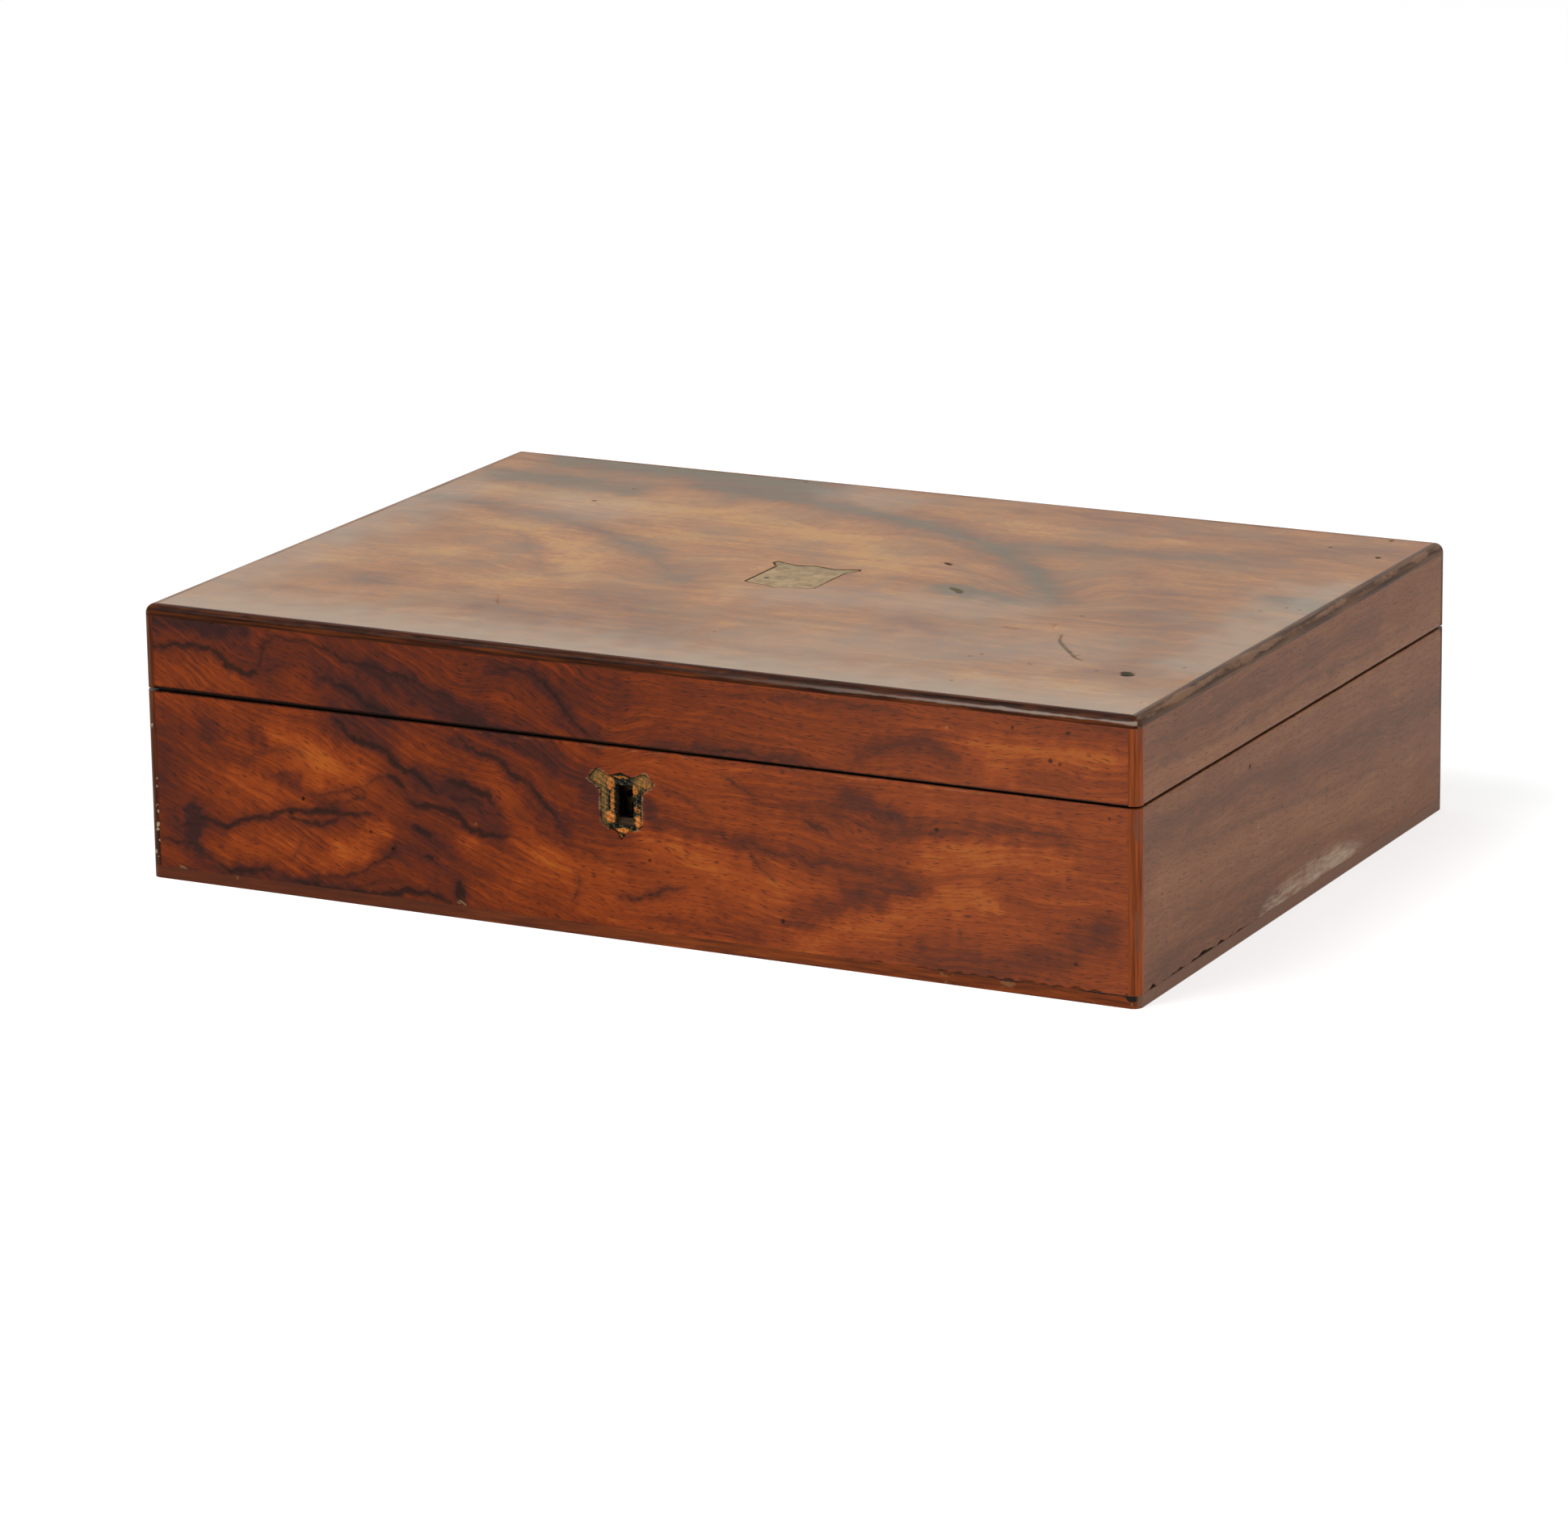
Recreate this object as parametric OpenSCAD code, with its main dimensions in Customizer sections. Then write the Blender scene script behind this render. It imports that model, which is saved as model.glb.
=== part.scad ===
// Walnut-veneered desk box for letters and papers, with a hinged lid and a hook-bolt lock.
// Millimetres. +Z is up, the front faces -Y, and the origin is the centre of the footprint on the table.
// The box is a pine carcass under walnut veneer, with solid walnut beads let into its edges.

/* [Box] */
// Width of the box over its veneer
body_w = 350; // [300:5:420]
// Depth of the box over its veneer, without the hinge barrels
body_d = 248; // [200:4:300]
// Height of the base, from the table to its rim
base_h = 62.5; // [52:0.5:90]
// Height of the lid, from its rim to its top
lid_h = 27.6; // [24:0.2:40]
// Gap between the two rims, which the lock and the hinges hold open
lid_gap = 0.9; // [0.6:0.1:1.2]
// Corner-to-corner depth of the lap joints between the boards
lap_depth = 4; // [2:0.5:5]

/* [Boards and veneer] */
// Thickness of the wall boards
wall_t = 8; // [8:0.5:11]
// Thickness of the bottom board
bottom_t = 4; // [3:0.5:7]
// Thickness of the lid's top panel
top_t = 7; // [5:0.5:9]
// Thickness of the sawn walnut veneer
veneer_t = 1; // [0.8:0.1:1.4]
// Thickness of the lining paper
lining_t = 0.5; // [0.4:0.1:0.8]
// How far the wall linings stop short of the rims
lining_setback = 2; // [1:0.5:5]

/* [Edge beads] */
// Side of the square section of the edge beads
bead_w = 3.5; // [3:0.1:5]
// Radius worn and planed onto the outer edges
bead_r = 3; // [1.5:0.1:3]

/* [Name plate] */
// Centre of the name plate, right of the middle of the lid
plate_x = 0.4; // [-20:0.1:20]
// Centre of the name plate, behind the middle of the lid
plate_y = -5.2; // [-20:0.1:20]
// Width of the name plate between its straight sides
plate_w = 24.4; // [18:0.2:34]
// Height of the name plate from its point to its ears
plate_h = 32; // [22:0.5:40]
// How far each ear reaches past the side
plate_ear = 3; // [1:0.1:4]
// Thickness of the name plate
plate_t = 0.85; // [0.6:0.05:0.95]
// Gap round the name plate in its recess
plate_gap = 0.25; // [0.1:0.05:0.5]

/* [Keyhole] */
// Middle of the keyhole and of the lock, right of the middle of the front
key_x = -0.4; // [-20:0.1:20]
// Width of the keyhole slot in the wood
slot_w = 6.2; // [5.4:0.1:7]
// Height of the keyhole slot on the inside of the wood
slot_h = 10.8; // [9:0.1:11.4]
// How far the slot's worn sill slopes down to the outside
sill_fall = 2.4; // [0:0.1:2.8]
// Top of the keyhole slot, below the rim
slot_drop = 12.2; // [11.8:0.1:13]
// Middle of the shield, left of the keyhole
shield_shift = 1; // [0:0.1:2]
// Top of the shield's ears, below the rim
shield_drop = 7.3; // [6:0.1:9]
// Width of the shield between its straight sides
shield_w = 14.8; // [13:0.1:18]
// Height of the shield from its point to its ears
shield_h = 22.5; // [20:0.5:26]
// How far each ear reaches past the side
shield_ear = 4.4; // [2:0.1:6]
// Thickness of the crust that is left in the shield's recess
crust_t = 0.5; // [0.3:0.05:0.7]

/* [Lock] */
// Width of the lock's back plate, selvedge and link plate
lock_w = 56; // [54:1:70]
// Height of the lock's back plate
lock_h = 30; // [29:0.5:36]
// Width of the lock's box behind the plate
lock_box_w = 42; // [42:0.5:46]
// Height of the lock's box
lock_box_h = 25; // [25:0.5:27]
// Depth of the whole lock from plate to cap
lock_d = 6; // [6:0.1:6.6]
// Sheet thickness of the back plate
lock_plate_t = 1.2; // [1:0.1:1.4]
// Thickness of the selvedge, the strip that shows on the rim
selvedge_t = 1.5; // [1:0.1:1.8]
// Depth of the selvedge and of the link plate across the rim
selvedge_d = 7; // [6.4:0.1:7.2]
// Wall of the lock's box, and thickness of its cap
lock_wall = 1; // [0.8:0.1:1.2]
// Travel of the bolt
bolt_travel = 3.5; // [3:0.1:4]
// Thickness of the bolt
bolt_t = 2.4; // [2:0.1:2.6]
// Height of the bolt's bar
bolt_bar_h = 3.7; // [3.4:0.1:4]
// Height of the key pin's centre below the rim
key_drop = 15.7; // [15:0.1:16.4]
// Radius of the key pin
key_pin_r = 1; // [0.8:0.1:1.2]
// Radius of the round end of the cap's keyhole
key_hole_r = 2.6; // [2.2:0.1:3]

/* [Link plate] */
// Thickness of the lid's link plate
link_t = 1.5; // [1.2:0.1:2]
// Length of each hook's toe
toe_l = 3.3; // [3:0.1:3.6]
// Width of each hook's stem
hook_stem = 2.5; // [2:0.1:3]
// Thickness of the hooks across the rim
hook_t = 2.8; // [2.2:0.1:3]
// Reach of the hooks below the rim
hook_drop = 7.5; // [7:0.1:7.6]
// Height of each hook's toe
toe_h = 2.4; // [2:0.1:2.6]

/* [Hinges] */
// Length of each hinge
hinge_len = 40; // [32:1:60]
// Distance from the end of the box to the middle of the hinge
hinge_inset = 75; // [45:1:100]
// Thickness of the hinge leaves
leaf_t = 1.2; // [0.9:0.05:1.5]
// Width of the hinge leaves from the pin's centre
leaf_w = 8.2; // [8:0.1:9]
// Radius of the hinge barrel
barrel_r = 2.2; // [1.9:0.1:2.6]
// Radius of the hinge pin
pin_r = 1; // [0.8:0.05:1.2]
// Distance from the back of the box out to the pin's centre
pin_out = 0.4; // [0.2:0.05:0.8]
// Number of knuckles in each barrel
knuckles = 5; // [3:2:7]
// Height of the stop shoulders below and above the pin
stop_h = 4.4; // [3.6:0.1:6]
// Angle at which the stop shoulders hold the open lid
open_angle = 100; // [90:1:110]

/* [Screws and nails] */
// Radius of the hinge screws' shank
screw_r = 1.1; // [0.9:0.05:1.3]
// Radius of the hinge screws' head
screw_head_r = 2; // [1.7:0.1:2.3]
// Length of the hinge screws
screw_l = 9; // [6:0.5:12]
// Distance between the hinge screws
screw_step = 13; // [9:0.5:14]
// Radius of the lock screws' shank
lock_screw_r = 0.9; // [0.7:0.05:1.1]
// Radius of the lock screws' head
lock_screw_head_r = 1.7; // [1.4:0.1:1.9]
// Length of the lock screws
lock_screw_l = 5.5; // [4:0.5:6.5]
// Radius of the nails in the bottom board
nail_r = 0.8; // [0.6:0.05:1]
// Radius of the nails' heads
nail_head_r = 1.6; // [1.3:0.1:2]
// Length of the nails
nail_l = 14; // [10:1:20]
// Number of nails along the front and along the back
nails_long = 5; // [3:1:8]
// Number of nails along each side
nails_short = 3; // [2:1:5]

/* [Hidden] */
$fn = 48;

// Clearances: a slack fit in wood, a running fit on a pin, and an overrun for cuts
fit = 0.1;
run_fit = 0.05;
over = 1;

// The walls: half sizes to the veneer, the boards and the inside
half_w = body_w / 2;
half_d = body_d / 2;
board_x = half_w - veneer_t;
board_y = half_d - veneer_t;
inner_x = board_x - wall_t;
inner_y = board_y - wall_t;
bead_in = bead_w - veneer_t;

// Heights
lid_z = base_h + lid_gap;
body_h = lid_z + lid_h;
panel_z = body_h - veneer_t - top_t;
bead_z = body_h - bead_w;

// The hinge axis lies between the rims, just outside the back
axis_y = half_d + pin_out;
axis_z = base_h + lid_gap / 2;
leaf_gap = 0.3;
leaf_face = leaf_gap / 2;
leaf_back = leaf_face + leaf_t;
barrel_room = barrel_r + 0.2;
knuckle_l = hinge_len / knuckles;
knuckle_gap = 0.1;
stop_slack = 0.5;
stop_angle = (open_angle + stop_slack) / 2;
hinge_x = half_w - hinge_inset;
hinge_proud = pin_out + barrel_r;
screw_y = -(leaf_w + veneer_t + pin_out) / 2;
screw_sink = 0.1;

// The lock is drawn from the middle of the rim's inner edge: x right, y into the box, z up
cavity_d = lock_d - lock_plate_t - lock_wall;
cavity_y = -(lock_plate_t + cavity_d / 2);
case_floor = -(selvedge_t + lock_box_h);
cavity_x = lock_box_w / 2 - lock_wall;
slot_low = slot_drop + slot_h + sill_fall;
bolt_top = -hook_drop - 0.8;
bolt_low = bolt_top - bolt_bar_h;
finger_top = -selvedge_t - 0.6;
finger_low = -(hook_drop - toe_h) + 0.5;
bolt_side = 0.5;
bolt_stem = 2.5;
bolt_end_room = 0.5;
hook_end_room = 5.2;
bolt_left = bolt_end_room - cavity_x;
finger_l = bolt_stem + bolt_travel;
toe_x = [bolt_left + finger_l + bolt_side, cavity_x - hook_end_room - hook_stem - toe_l];
bolt_right = toe_x[1] + 1;
guide_r = 1;
guide_x = bolt_left + finger_l + bolt_travel;
talon_r = 2.4;
hook_room = 0.4;
spring_t = 0.5;
spring_r = 2.2;
spring_room = 0.15;
spring_z = -selvedge_t - spring_room - spring_r;
spring_x = (toe_x[0] + toe_l + hook_stem + toe_x[1] - bolt_side - finger_l) / 2;
link_rest = 0.15;
lock_screw_x = lock_w / 2 - 3.5;
lock_screw_z = [-5, -lock_h + 4];
link_screw_x = lock_w / 2 - 6;

pine = "#b98a55";
walnut = "#7a3f1d";
walnut_bead = "#5a2c16";
brass = "#a58742";
steel = "#77736c";
paper = "#6f2f2a";
crust = "#a0692f";

// Moves the box from its own middle to the middle of the footprint, which the hinge barrels push back
module place() translate([0, -hinge_proud / 2, 0]) children();

// A plan with round corners, made of plain shapes so that its arcs stay true
module round_rect(w, d, r) {
    square([w - 2 * r, d], center = true);
    square([w, d - 2 * r], center = true);
    for (x = [-1, 1], y = [-1, 1])
        translate([x * (w / 2 - r), y * (d / 2 - r)]) circle(r);
}

// The outside of the whole box, with the radius on its upright and top edges
module outer_form() {
    linear_extrude(body_h - bead_r) round_rect(body_w, body_d, bead_r);
    linear_extrude(body_h) square([body_w - 2 * bead_r, body_d - 2 * bead_r], center = true);
    translate([0, 0, body_h - bead_r]) {
        for (y = [-1, 1])
            translate([0, y * (half_d - bead_r), 0]) rotate([0, 90, 0])
                cylinder(r = bead_r, h = body_w - 2 * bead_r, center = true);
        for (x = [-1, 1])
            translate([x * (half_w - bead_r), 0, 0]) rotate([90, 0, 0])
                cylinder(r = bead_r, h = body_d - 2 * bead_r, center = true);
        for (x = [-1, 1], y = [-1, 1])
            translate([x * (half_w - bead_r), y * (half_d - bead_r), 0]) sphere(bead_r);
    }
}

// A shield: straight sides, a low point, and ears at the top that reach out past the sides.
// Drawn with its ears' top on y = 0 and its point downwards, and grown all round by g.
// The point and the neck are shares of the height; tip and cut shape the end of each ear.
module shield(w, h, ear, point, neck, tip, cut, g = 0) {
    side = w / 2 + g;
    half = [
        [0, -0.03 * h + g],
        [0.55 * side, -0.09 * h + g],
        [side + tip * ear, g],
        [side + ear + g, -cut * h + g],
        [side, -neck * h - g],
        [side, -(1 - point) * h - g],
        [0.82 * side, -(1 - 0.74 * point) * h - g],
        [0.25 * side, -(1 - 0.42 * point) * h - g]
    ];
    polygon(concat(
        half,
        [[0, -h - 1.2 * g]],
        [for (i = [len(half) - 1 : -1 : 1]) [-half[i][0], half[i][1]]]
    ));
}

module escutcheon_outline(g = 0) shield(shield_w, shield_h, shield_ear, 0.236, 0.32, 0.3, 0.16, g);
module plate_outline(g = 0) shield(plate_w, plate_h, plate_ear, 0.126, 0.18, 0.85, 0.05, g);

// Places what is drawn flat, y up, on the front of the carcass below the rim
module on_front(x, drop) translate([x, -board_y, base_h - drop]) rotate([90, 0, 0]) children();

// Places what is drawn in the lock's own frame
module at_lock() translate([key_x, -inner_y, base_h]) children();

// Places what is drawn round the hinge axis at each hinge, side -1 left and 1 right
module at_hinge(side) translate([side * hinge_x, axis_y, axis_z]) children();

// Countersunk screw along -Z from its head, grown by g for its hole
module screw(r, head_r, l, g = 0) {
    head_h = head_r - r;
    translate([0, 0, -head_h]) cylinder(r1 = r + g, r2 = head_r + g, h = head_h);
    translate([0, 0, -l - g]) cylinder(r = r + g, h = l + g);
}

// Hole for that screw, open above its head
module screw_hole(r, head_r, l) {
    screw(r, head_r, l, run_fit);
    cylinder(r = head_r + run_fit, h = over);
}

// The same screw with its driver slot
module slotted_screw(r, head_r, l) difference() {
    screw(r, head_r, l);
    translate([-head_r - over, -0.25, -0.5]) cube([2 * (head_r + over), 0.5, 0.5 + over]);
}

// Board along the front of the carcass, from z up by h, with its end laps and bead rebates
module long_board(z, h) difference() {
    translate([-board_x, -board_y, z]) cube([2 * board_x, wall_t, h]);
    for (x = [-1, 1]) {
        translate([x * board_x, -board_y, z + h / 2])
            cube([2 * bead_in, 2 * bead_in, h + 2 * over], center = true);
        translate([x * (board_x - wall_t / 2), -inner_y, z + h / 2])
            cube([wall_t, 2 * lap_depth, h + 2 * over], center = true);
        translate([x * (board_x + over / 2), -inner_y, z + h / 2])
            cube([over, 2 * lap_depth, h + 2 * over], center = true);
    }
}

// Board along the right side of the carcass, let into the laps of the long boards
module side_board(z, h)
    translate([inner_x, -inner_y - lap_depth, z]) cube([wall_t, 2 * (inner_y + lap_depth), h]);

// Upright bead at the front right corner, from z up by h
module corner_bead(z, h) translate([0, 0, z]) linear_extrude(h) intersection() {
    round_rect(body_w, body_d, bead_r);
    translate([half_w - bead_w, -half_d]) square(bead_w);
}

// Mitred bead along the front or right top edge
module top_edge(along_x) intersection() {
    translate([0, 0, bead_z]) linear_extrude(bead_w) polygon(
        along_x
        ? [[-half_w, -half_d], [half_w, -half_d], [half_w - bead_w, bead_w - half_d], [bead_w - half_w, bead_w - half_d]]
        : [[half_w, -half_d], [half_w, half_d], [half_w - bead_w, half_d - bead_w], [half_w - bead_w, bead_w - half_d]]
    );
    outer_form();
}

// Veneer sheets over the front and the right side, from z to top
module front_sheet(z, top)
    translate([bead_w - half_w, -half_d, z]) cube([2 * (half_w - bead_w), veneer_t, top - z]);
module side_sheet(z, top)
    translate([half_w - veneer_t, bead_w - half_d, z]) cube([veneer_t, 2 * (half_d - bead_w), top - z]);

// Lining paper round the inside of the walls
module wall_sheet(z, top) difference() {
    translate([-inner_x, -inner_y, z]) cube([2 * inner_x, 2 * inner_y, top - z]);
    translate([lining_t - inner_x, lining_t - inner_y, z - over])
        cube([2 * (inner_x - lining_t), 2 * (inner_y - lining_t), top - z + 2 * over]);
}

// Room in the back walls for the hinge barrel, the leaves and their screws
module hinge_room() for (side = [-1, 1]) at_hinge(side) {
    rotate([0, 90, 0]) cylinder(r = barrel_room, h = hinge_len + 2 * fit, center = true);
    translate([-hinge_len / 2 - fit, -leaf_w - fit, -leaf_back]) cube([hinge_len + 2 * fit, leaf_w + fit, 2 * leaf_back]);
    for (i = [-1 : 1], up = [0, 1]) mirror([0, 0, up])
        translate([i * screw_step, screw_y, -leaf_face - screw_sink]) screw_hole(screw_r, screw_head_r, screw_l);
}

// Nail places: a row along the front and back, and a row along each side
module at_nails() {
    for (i = [0 : nails_long - 1], y = [-1, 1])
        translate([(inner_x - wall_t) * (2 * i / (nails_long - 1) - 1), y * (board_y - wall_t / 2), 0]) children();
    for (i = [0 : nails_short - 1], x = [-1, 1])
        translate([x * (board_x - wall_t / 2), (inner_y - 3 * wall_t) * (2 * i / (nails_short - 1) - 1), 0]) children();
}

// Cut nail upwards from its head, which is punched just under the surface
module nail(g = 0) {
    sink = 0.2;
    translate([0, 0, sink - (g > 0 ? sink + over : 0)]) cylinder(r = nail_head_r + g, h = 0.8 + (g > 0 ? sink + over : 0));
    translate([0, 0, sink]) cylinder(r = nail_r + g, h = nail_l + g);
}
module nail_holes() at_nails() nail(run_fit);

module bottom_board() color(pine) difference() {
    linear_extrude(bottom_t) round_rect(body_w, body_d, bead_r);
    nail_holes();
}

// The front board holds the lock: its box, plate and selvedge are let in from the inside and the rim
module base_front_board() color(pine) difference() {
    long_board(bottom_t, base_h - bottom_t);
    at_lock() {
        translate([-lock_box_w / 2 - fit, -lock_d - fit, case_floor - fit])
            cube([lock_box_w + 2 * fit, lock_d + fit + over, lock_box_h + selvedge_t + fit + over]);
        translate([-lock_w / 2 - fit, -lock_plate_t, -lock_h - fit])
            cube([lock_w + 2 * fit, lock_plate_t + over, lock_h + fit + over]);
        translate([-lock_w / 2 - fit, -selvedge_d - fit, -selvedge_t])
            cube([lock_w + 2 * fit, selvedge_d + fit + over, selvedge_t + over]);
        at_lock_screws() screw_hole(lock_screw_r, lock_screw_head_r, lock_screw_l);
        translate([-slot_w / 2, 0, 0]) rotate([90, 0, 90]) linear_extrude(slot_w) polygon([
            [-lock_d, -slot_drop], [-wall_t - over, -slot_drop],
            [-wall_t - over, -slot_low], [-wall_t, -slot_low], [-lock_d, -slot_drop - slot_h]
        ]);
    }
    nail_holes();
}

module base_back_board() color(pine) difference() {
    mirror([0, 1, 0]) long_board(bottom_t, base_h - bottom_t);
    hinge_room();
    nail_holes();
}

module base_right_board() color(pine) difference() {
    side_board(bottom_t, base_h - bottom_t);
    nail_holes();
}
module base_left_board() mirror([1, 0, 0]) base_right_board();

// Recess of the lost keyhole shield, cut right through the veneer
module base_front_veneer() color(walnut) difference() {
    front_sheet(bottom_t, base_h);
    on_front(key_x - shield_shift, shield_drop)
        translate([0, 0, -over]) linear_extrude(veneer_t + 2 * over) escutcheon_outline();
}
module base_back_veneer() color(walnut) difference() {
    mirror([0, 1, 0]) front_sheet(bottom_t, base_h);
    hinge_room();
}
module base_right_veneer() color(walnut) side_sheet(bottom_t, base_h);
module base_left_veneer() mirror([1, 0, 0]) base_right_veneer();

module base_bead(left, back) color(walnut_bead)
    mirror([left, 0, 0]) mirror([0, back, 0]) corner_bead(bottom_t, base_h - bottom_t);

module base_floor_lining() color(paper)
    translate([lining_t - inner_x, lining_t - inner_y, bottom_t])
        cube([2 * (inner_x - lining_t), 2 * (inner_y - lining_t), lining_t]);

// The paper is cut round the lock's back plate
module base_wall_lining() color(paper) difference() {
    wall_sheet(bottom_t, base_h - lining_setback);
    at_lock() translate([-lock_w / 2 - 2 * fit, -over, -lock_h - 2 * fit])
        cube([lock_w + 4 * fit, 2 * over + lining_t, lock_h + over]);
}

module bottom_nails() color(steel) at_nails() nail();

// What is left where the keyhole shield was: a crust of corrosion, glue and torn wood
module escutcheon_remains() color(crust) difference() {
    on_front(key_x - shield_shift, shield_drop) linear_extrude(crust_t) escutcheon_outline(-plate_gap / 2);
    on_front(key_x, slot_drop)
        translate([-slot_w / 2, slot_drop - slot_low, -over])
            cube([slot_w, slot_low - slot_drop, veneer_t + 2 * over]);
}

// Places of the four lock screws, heads on the plate's inner face
module at_lock_screws() for (x = [-1, 1], z = lock_screw_z)
    translate([x * lock_screw_x, -screw_sink, z]) rotate([-90, 0, 0]) children();

// Slots in the selvedge through which the lid's hooks pass
module hook_slots() for (x = toe_x)
    translate([x - hook_room, cavity_y - hook_t / 2 - hook_room, -selvedge_t - over])
        cube([toe_l + hook_stem + 2 * hook_room, hook_t + 2 * hook_room, selvedge_t + 2 * over]);

// Back plate, selvedge, rim of the box, and the stud that guides the bolt
module lock_case() color(brass) at_lock() {
    difference() {
        union() {
            translate([-lock_w / 2, -lock_plate_t, -lock_h]) cube([lock_w, lock_plate_t, lock_h]);
            translate([-lock_w / 2, -selvedge_d, -selvedge_t]) cube([lock_w, selvedge_d, selvedge_t]);
            translate([-lock_box_w / 2, -lock_plate_t - cavity_d, case_floor])
                cube([lock_box_w, cavity_d + lock_plate_t / 2, lock_box_h + selvedge_t / 2]);
        }
        translate([-cavity_x, -lock_plate_t - cavity_d - over, case_floor + lock_wall])
            cube([2 * cavity_x, cavity_d + over, lock_box_h - lock_wall]);
        hook_slots();
        at_lock_screws() screw_hole(lock_screw_r, lock_screw_head_r, lock_screw_l);
        translate([0, 0, -key_drop]) rotate([90, 0, 0])
            cylinder(r = key_pin_r + run_fit, h = 2 * lock_d, center = true);
    }
    translate([guide_x, -lock_plate_t / 2, (bolt_top + bolt_low) / 2]) rotate([90, 0, 0])
        cylinder(r = guide_r, h = lock_plate_t / 2 + cavity_d);
}

// Front of the lock's box, with the keyhole
module lock_cap() color(brass) at_lock() difference() {
    translate([-lock_box_w / 2, -lock_d, case_floor]) cube([lock_box_w, lock_wall, lock_box_h]);
    translate([0, 0, -key_drop]) rotate([90, 0, 0]) {
        cylinder(r = key_hole_r, h = 2 * lock_d);
        translate([-1.2, -slot_drop - slot_h + key_drop, 0]) cube([2.4, slot_drop + slot_h - key_drop, 2 * lock_d]);
    }
}

module lock_key_pin() color(steel) at_lock()
    translate([0, 0, -key_drop]) rotate([90, 0, 0]) cylinder(r = key_pin_r, h = lock_d - 0.2);

module lock_screws() color(brass) at_lock() at_lock_screws()
    slotted_screw(lock_screw_r, lock_screw_head_r, lock_screw_l);

// Bolt with two hooked fingers, a guide slot, and the talon that the key pushes. Drawn unlocked.
module lock_bolt() color(brass) at_lock() translate([0, cavity_y + bolt_t / 2, 0]) rotate([90, 0, 0])
    linear_extrude(bolt_t) difference() {
        union() {
            translate([bolt_left, bolt_low]) square([bolt_right - bolt_left, bolt_bar_h]);
            for (x = toe_x) translate([x - bolt_side - finger_l, 0]) {
                translate([0, bolt_low + bolt_bar_h / 2])
                    square([bolt_stem, finger_top - bolt_low - bolt_bar_h / 2]);
                translate([0, finger_low]) square([finger_l, finger_top - finger_low]);
            }
        }
        translate([guide_x - guide_r - fit - bolt_travel, (bolt_top + bolt_low) / 2 - guide_r - fit])
            square([bolt_travel + 2 * (guide_r + fit), 2 * (guide_r + fit)]);
        translate([-bolt_travel / 2, bolt_low]) circle(talon_r);
    }

// Bent leaf spring, fixed on the bolt, that rubs on the underside of the selvedge
module lock_spring() color(steel) at_lock() translate([spring_x, cavity_y + bolt_t / 2, spring_z]) rotate([90, 0, 0])
    linear_extrude(bolt_t) {
        translate([-spring_r, bolt_top - spring_z]) square([spring_t, spring_z - bolt_top]);
        difference() {
            circle(spring_r);
            circle(spring_r - spring_t);
            translate([-spring_r - over, -spring_r - over]) square([2 * (spring_r + over), spring_r + over]);
        }
    }

// Hinge leaf below the axis. own is 0 or 1: which of the alternating knuckles it carries.
module leaf(own) difference() {
    union() {
        for (i = [0 : knuckles - 1]) translate([-hinge_len / 2 + i * knuckle_l, 0, 0]) {
            if (i % 2 == own) {
                l = knuckle_l - 2 * knuckle_gap;
                translate([knuckle_gap, 0, 0]) rotate([0, 90, 0]) cylinder(r = barrel_r, h = l);
                translate([knuckle_gap, -leaf_w / 2, -leaf_back]) cube([l, leaf_w / 2, leaf_t]);
                translate([knuckle_gap, 0, 0]) stop_shoulder(l, 0);
            }
            stop_shoulder(knuckle_l, barrel_room);
        }
        translate([-hinge_len / 2, -leaf_w, -leaf_back]) cube([hinge_len, leaf_w - barrel_room, leaf_t]);
    }
    rotate([0, 90, 0]) cylinder(r = pin_r + run_fit, h = hinge_len + 2 * over, center = true);
    for (i = [-1 : 1])
        translate([i * screw_step, screw_y, -leaf_face - screw_sink])
            screw_hole(screw_r, screw_head_r, leaf_t + over);
}

// Shoulder outside the barrel; its sloping face meets the other leaf's when the lid is fully open
module stop_shoulder(l, clear_r) {
    slope = tan(stop_angle);
    near = fit - pin_out;
    rotate([90, 0, 90]) linear_extrude(l) difference() {
        polygon([[near, -stop_h], [barrel_r, -stop_h], [barrel_r, -barrel_r * slope], [0, 0], [near, 0]]);
        if (clear_r > 0) circle(clear_r);
    }
}

module hinge_base_leaf(side) color(brass) at_hinge(side) leaf(0);
module hinge_lid_leaf(side) color(brass) at_hinge(side) mirror([0, 0, 1]) leaf(1);
module hinge_pin(side) color(brass) at_hinge(side)
    rotate([0, 90, 0]) cylinder(r = pin_r, h = hinge_len, center = true);

// Six screws, three in each hinge, upwards into the lid where up is 1
module hinge_screws(up) color(brass) for (side = [-1, 1], i = [-1 : 1]) at_hinge(side) mirror([0, 0, up])
    translate([i * screw_step, screw_y, -leaf_face - screw_sink]) slotted_screw(screw_r, screw_head_r, screw_l);

// Top panel, rebated all round for the edge beads and at its corners for the upright ones
module lid_top_panel() color(pine) difference() {
    translate([-board_x, -board_y, panel_z]) cube([2 * board_x, 2 * board_y, top_t]);
    for (x = [-1, 1]) {
        translate([x * board_x, 0, panel_z + top_t])
            cube([2 * bead_in, body_d, 2 * bead_in], center = true);
        for (y = [-1, 1])
            translate([x * board_x, y * board_y, panel_z + top_t / 2])
                cube([2 * bead_in, 2 * bead_in, top_t + 2 * over], center = true);
    }
    for (y = [-1, 1])
        translate([0, y * board_y, panel_z + top_t])
            cube([body_w, 2 * bead_in, 2 * bead_in], center = true);
}

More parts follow.
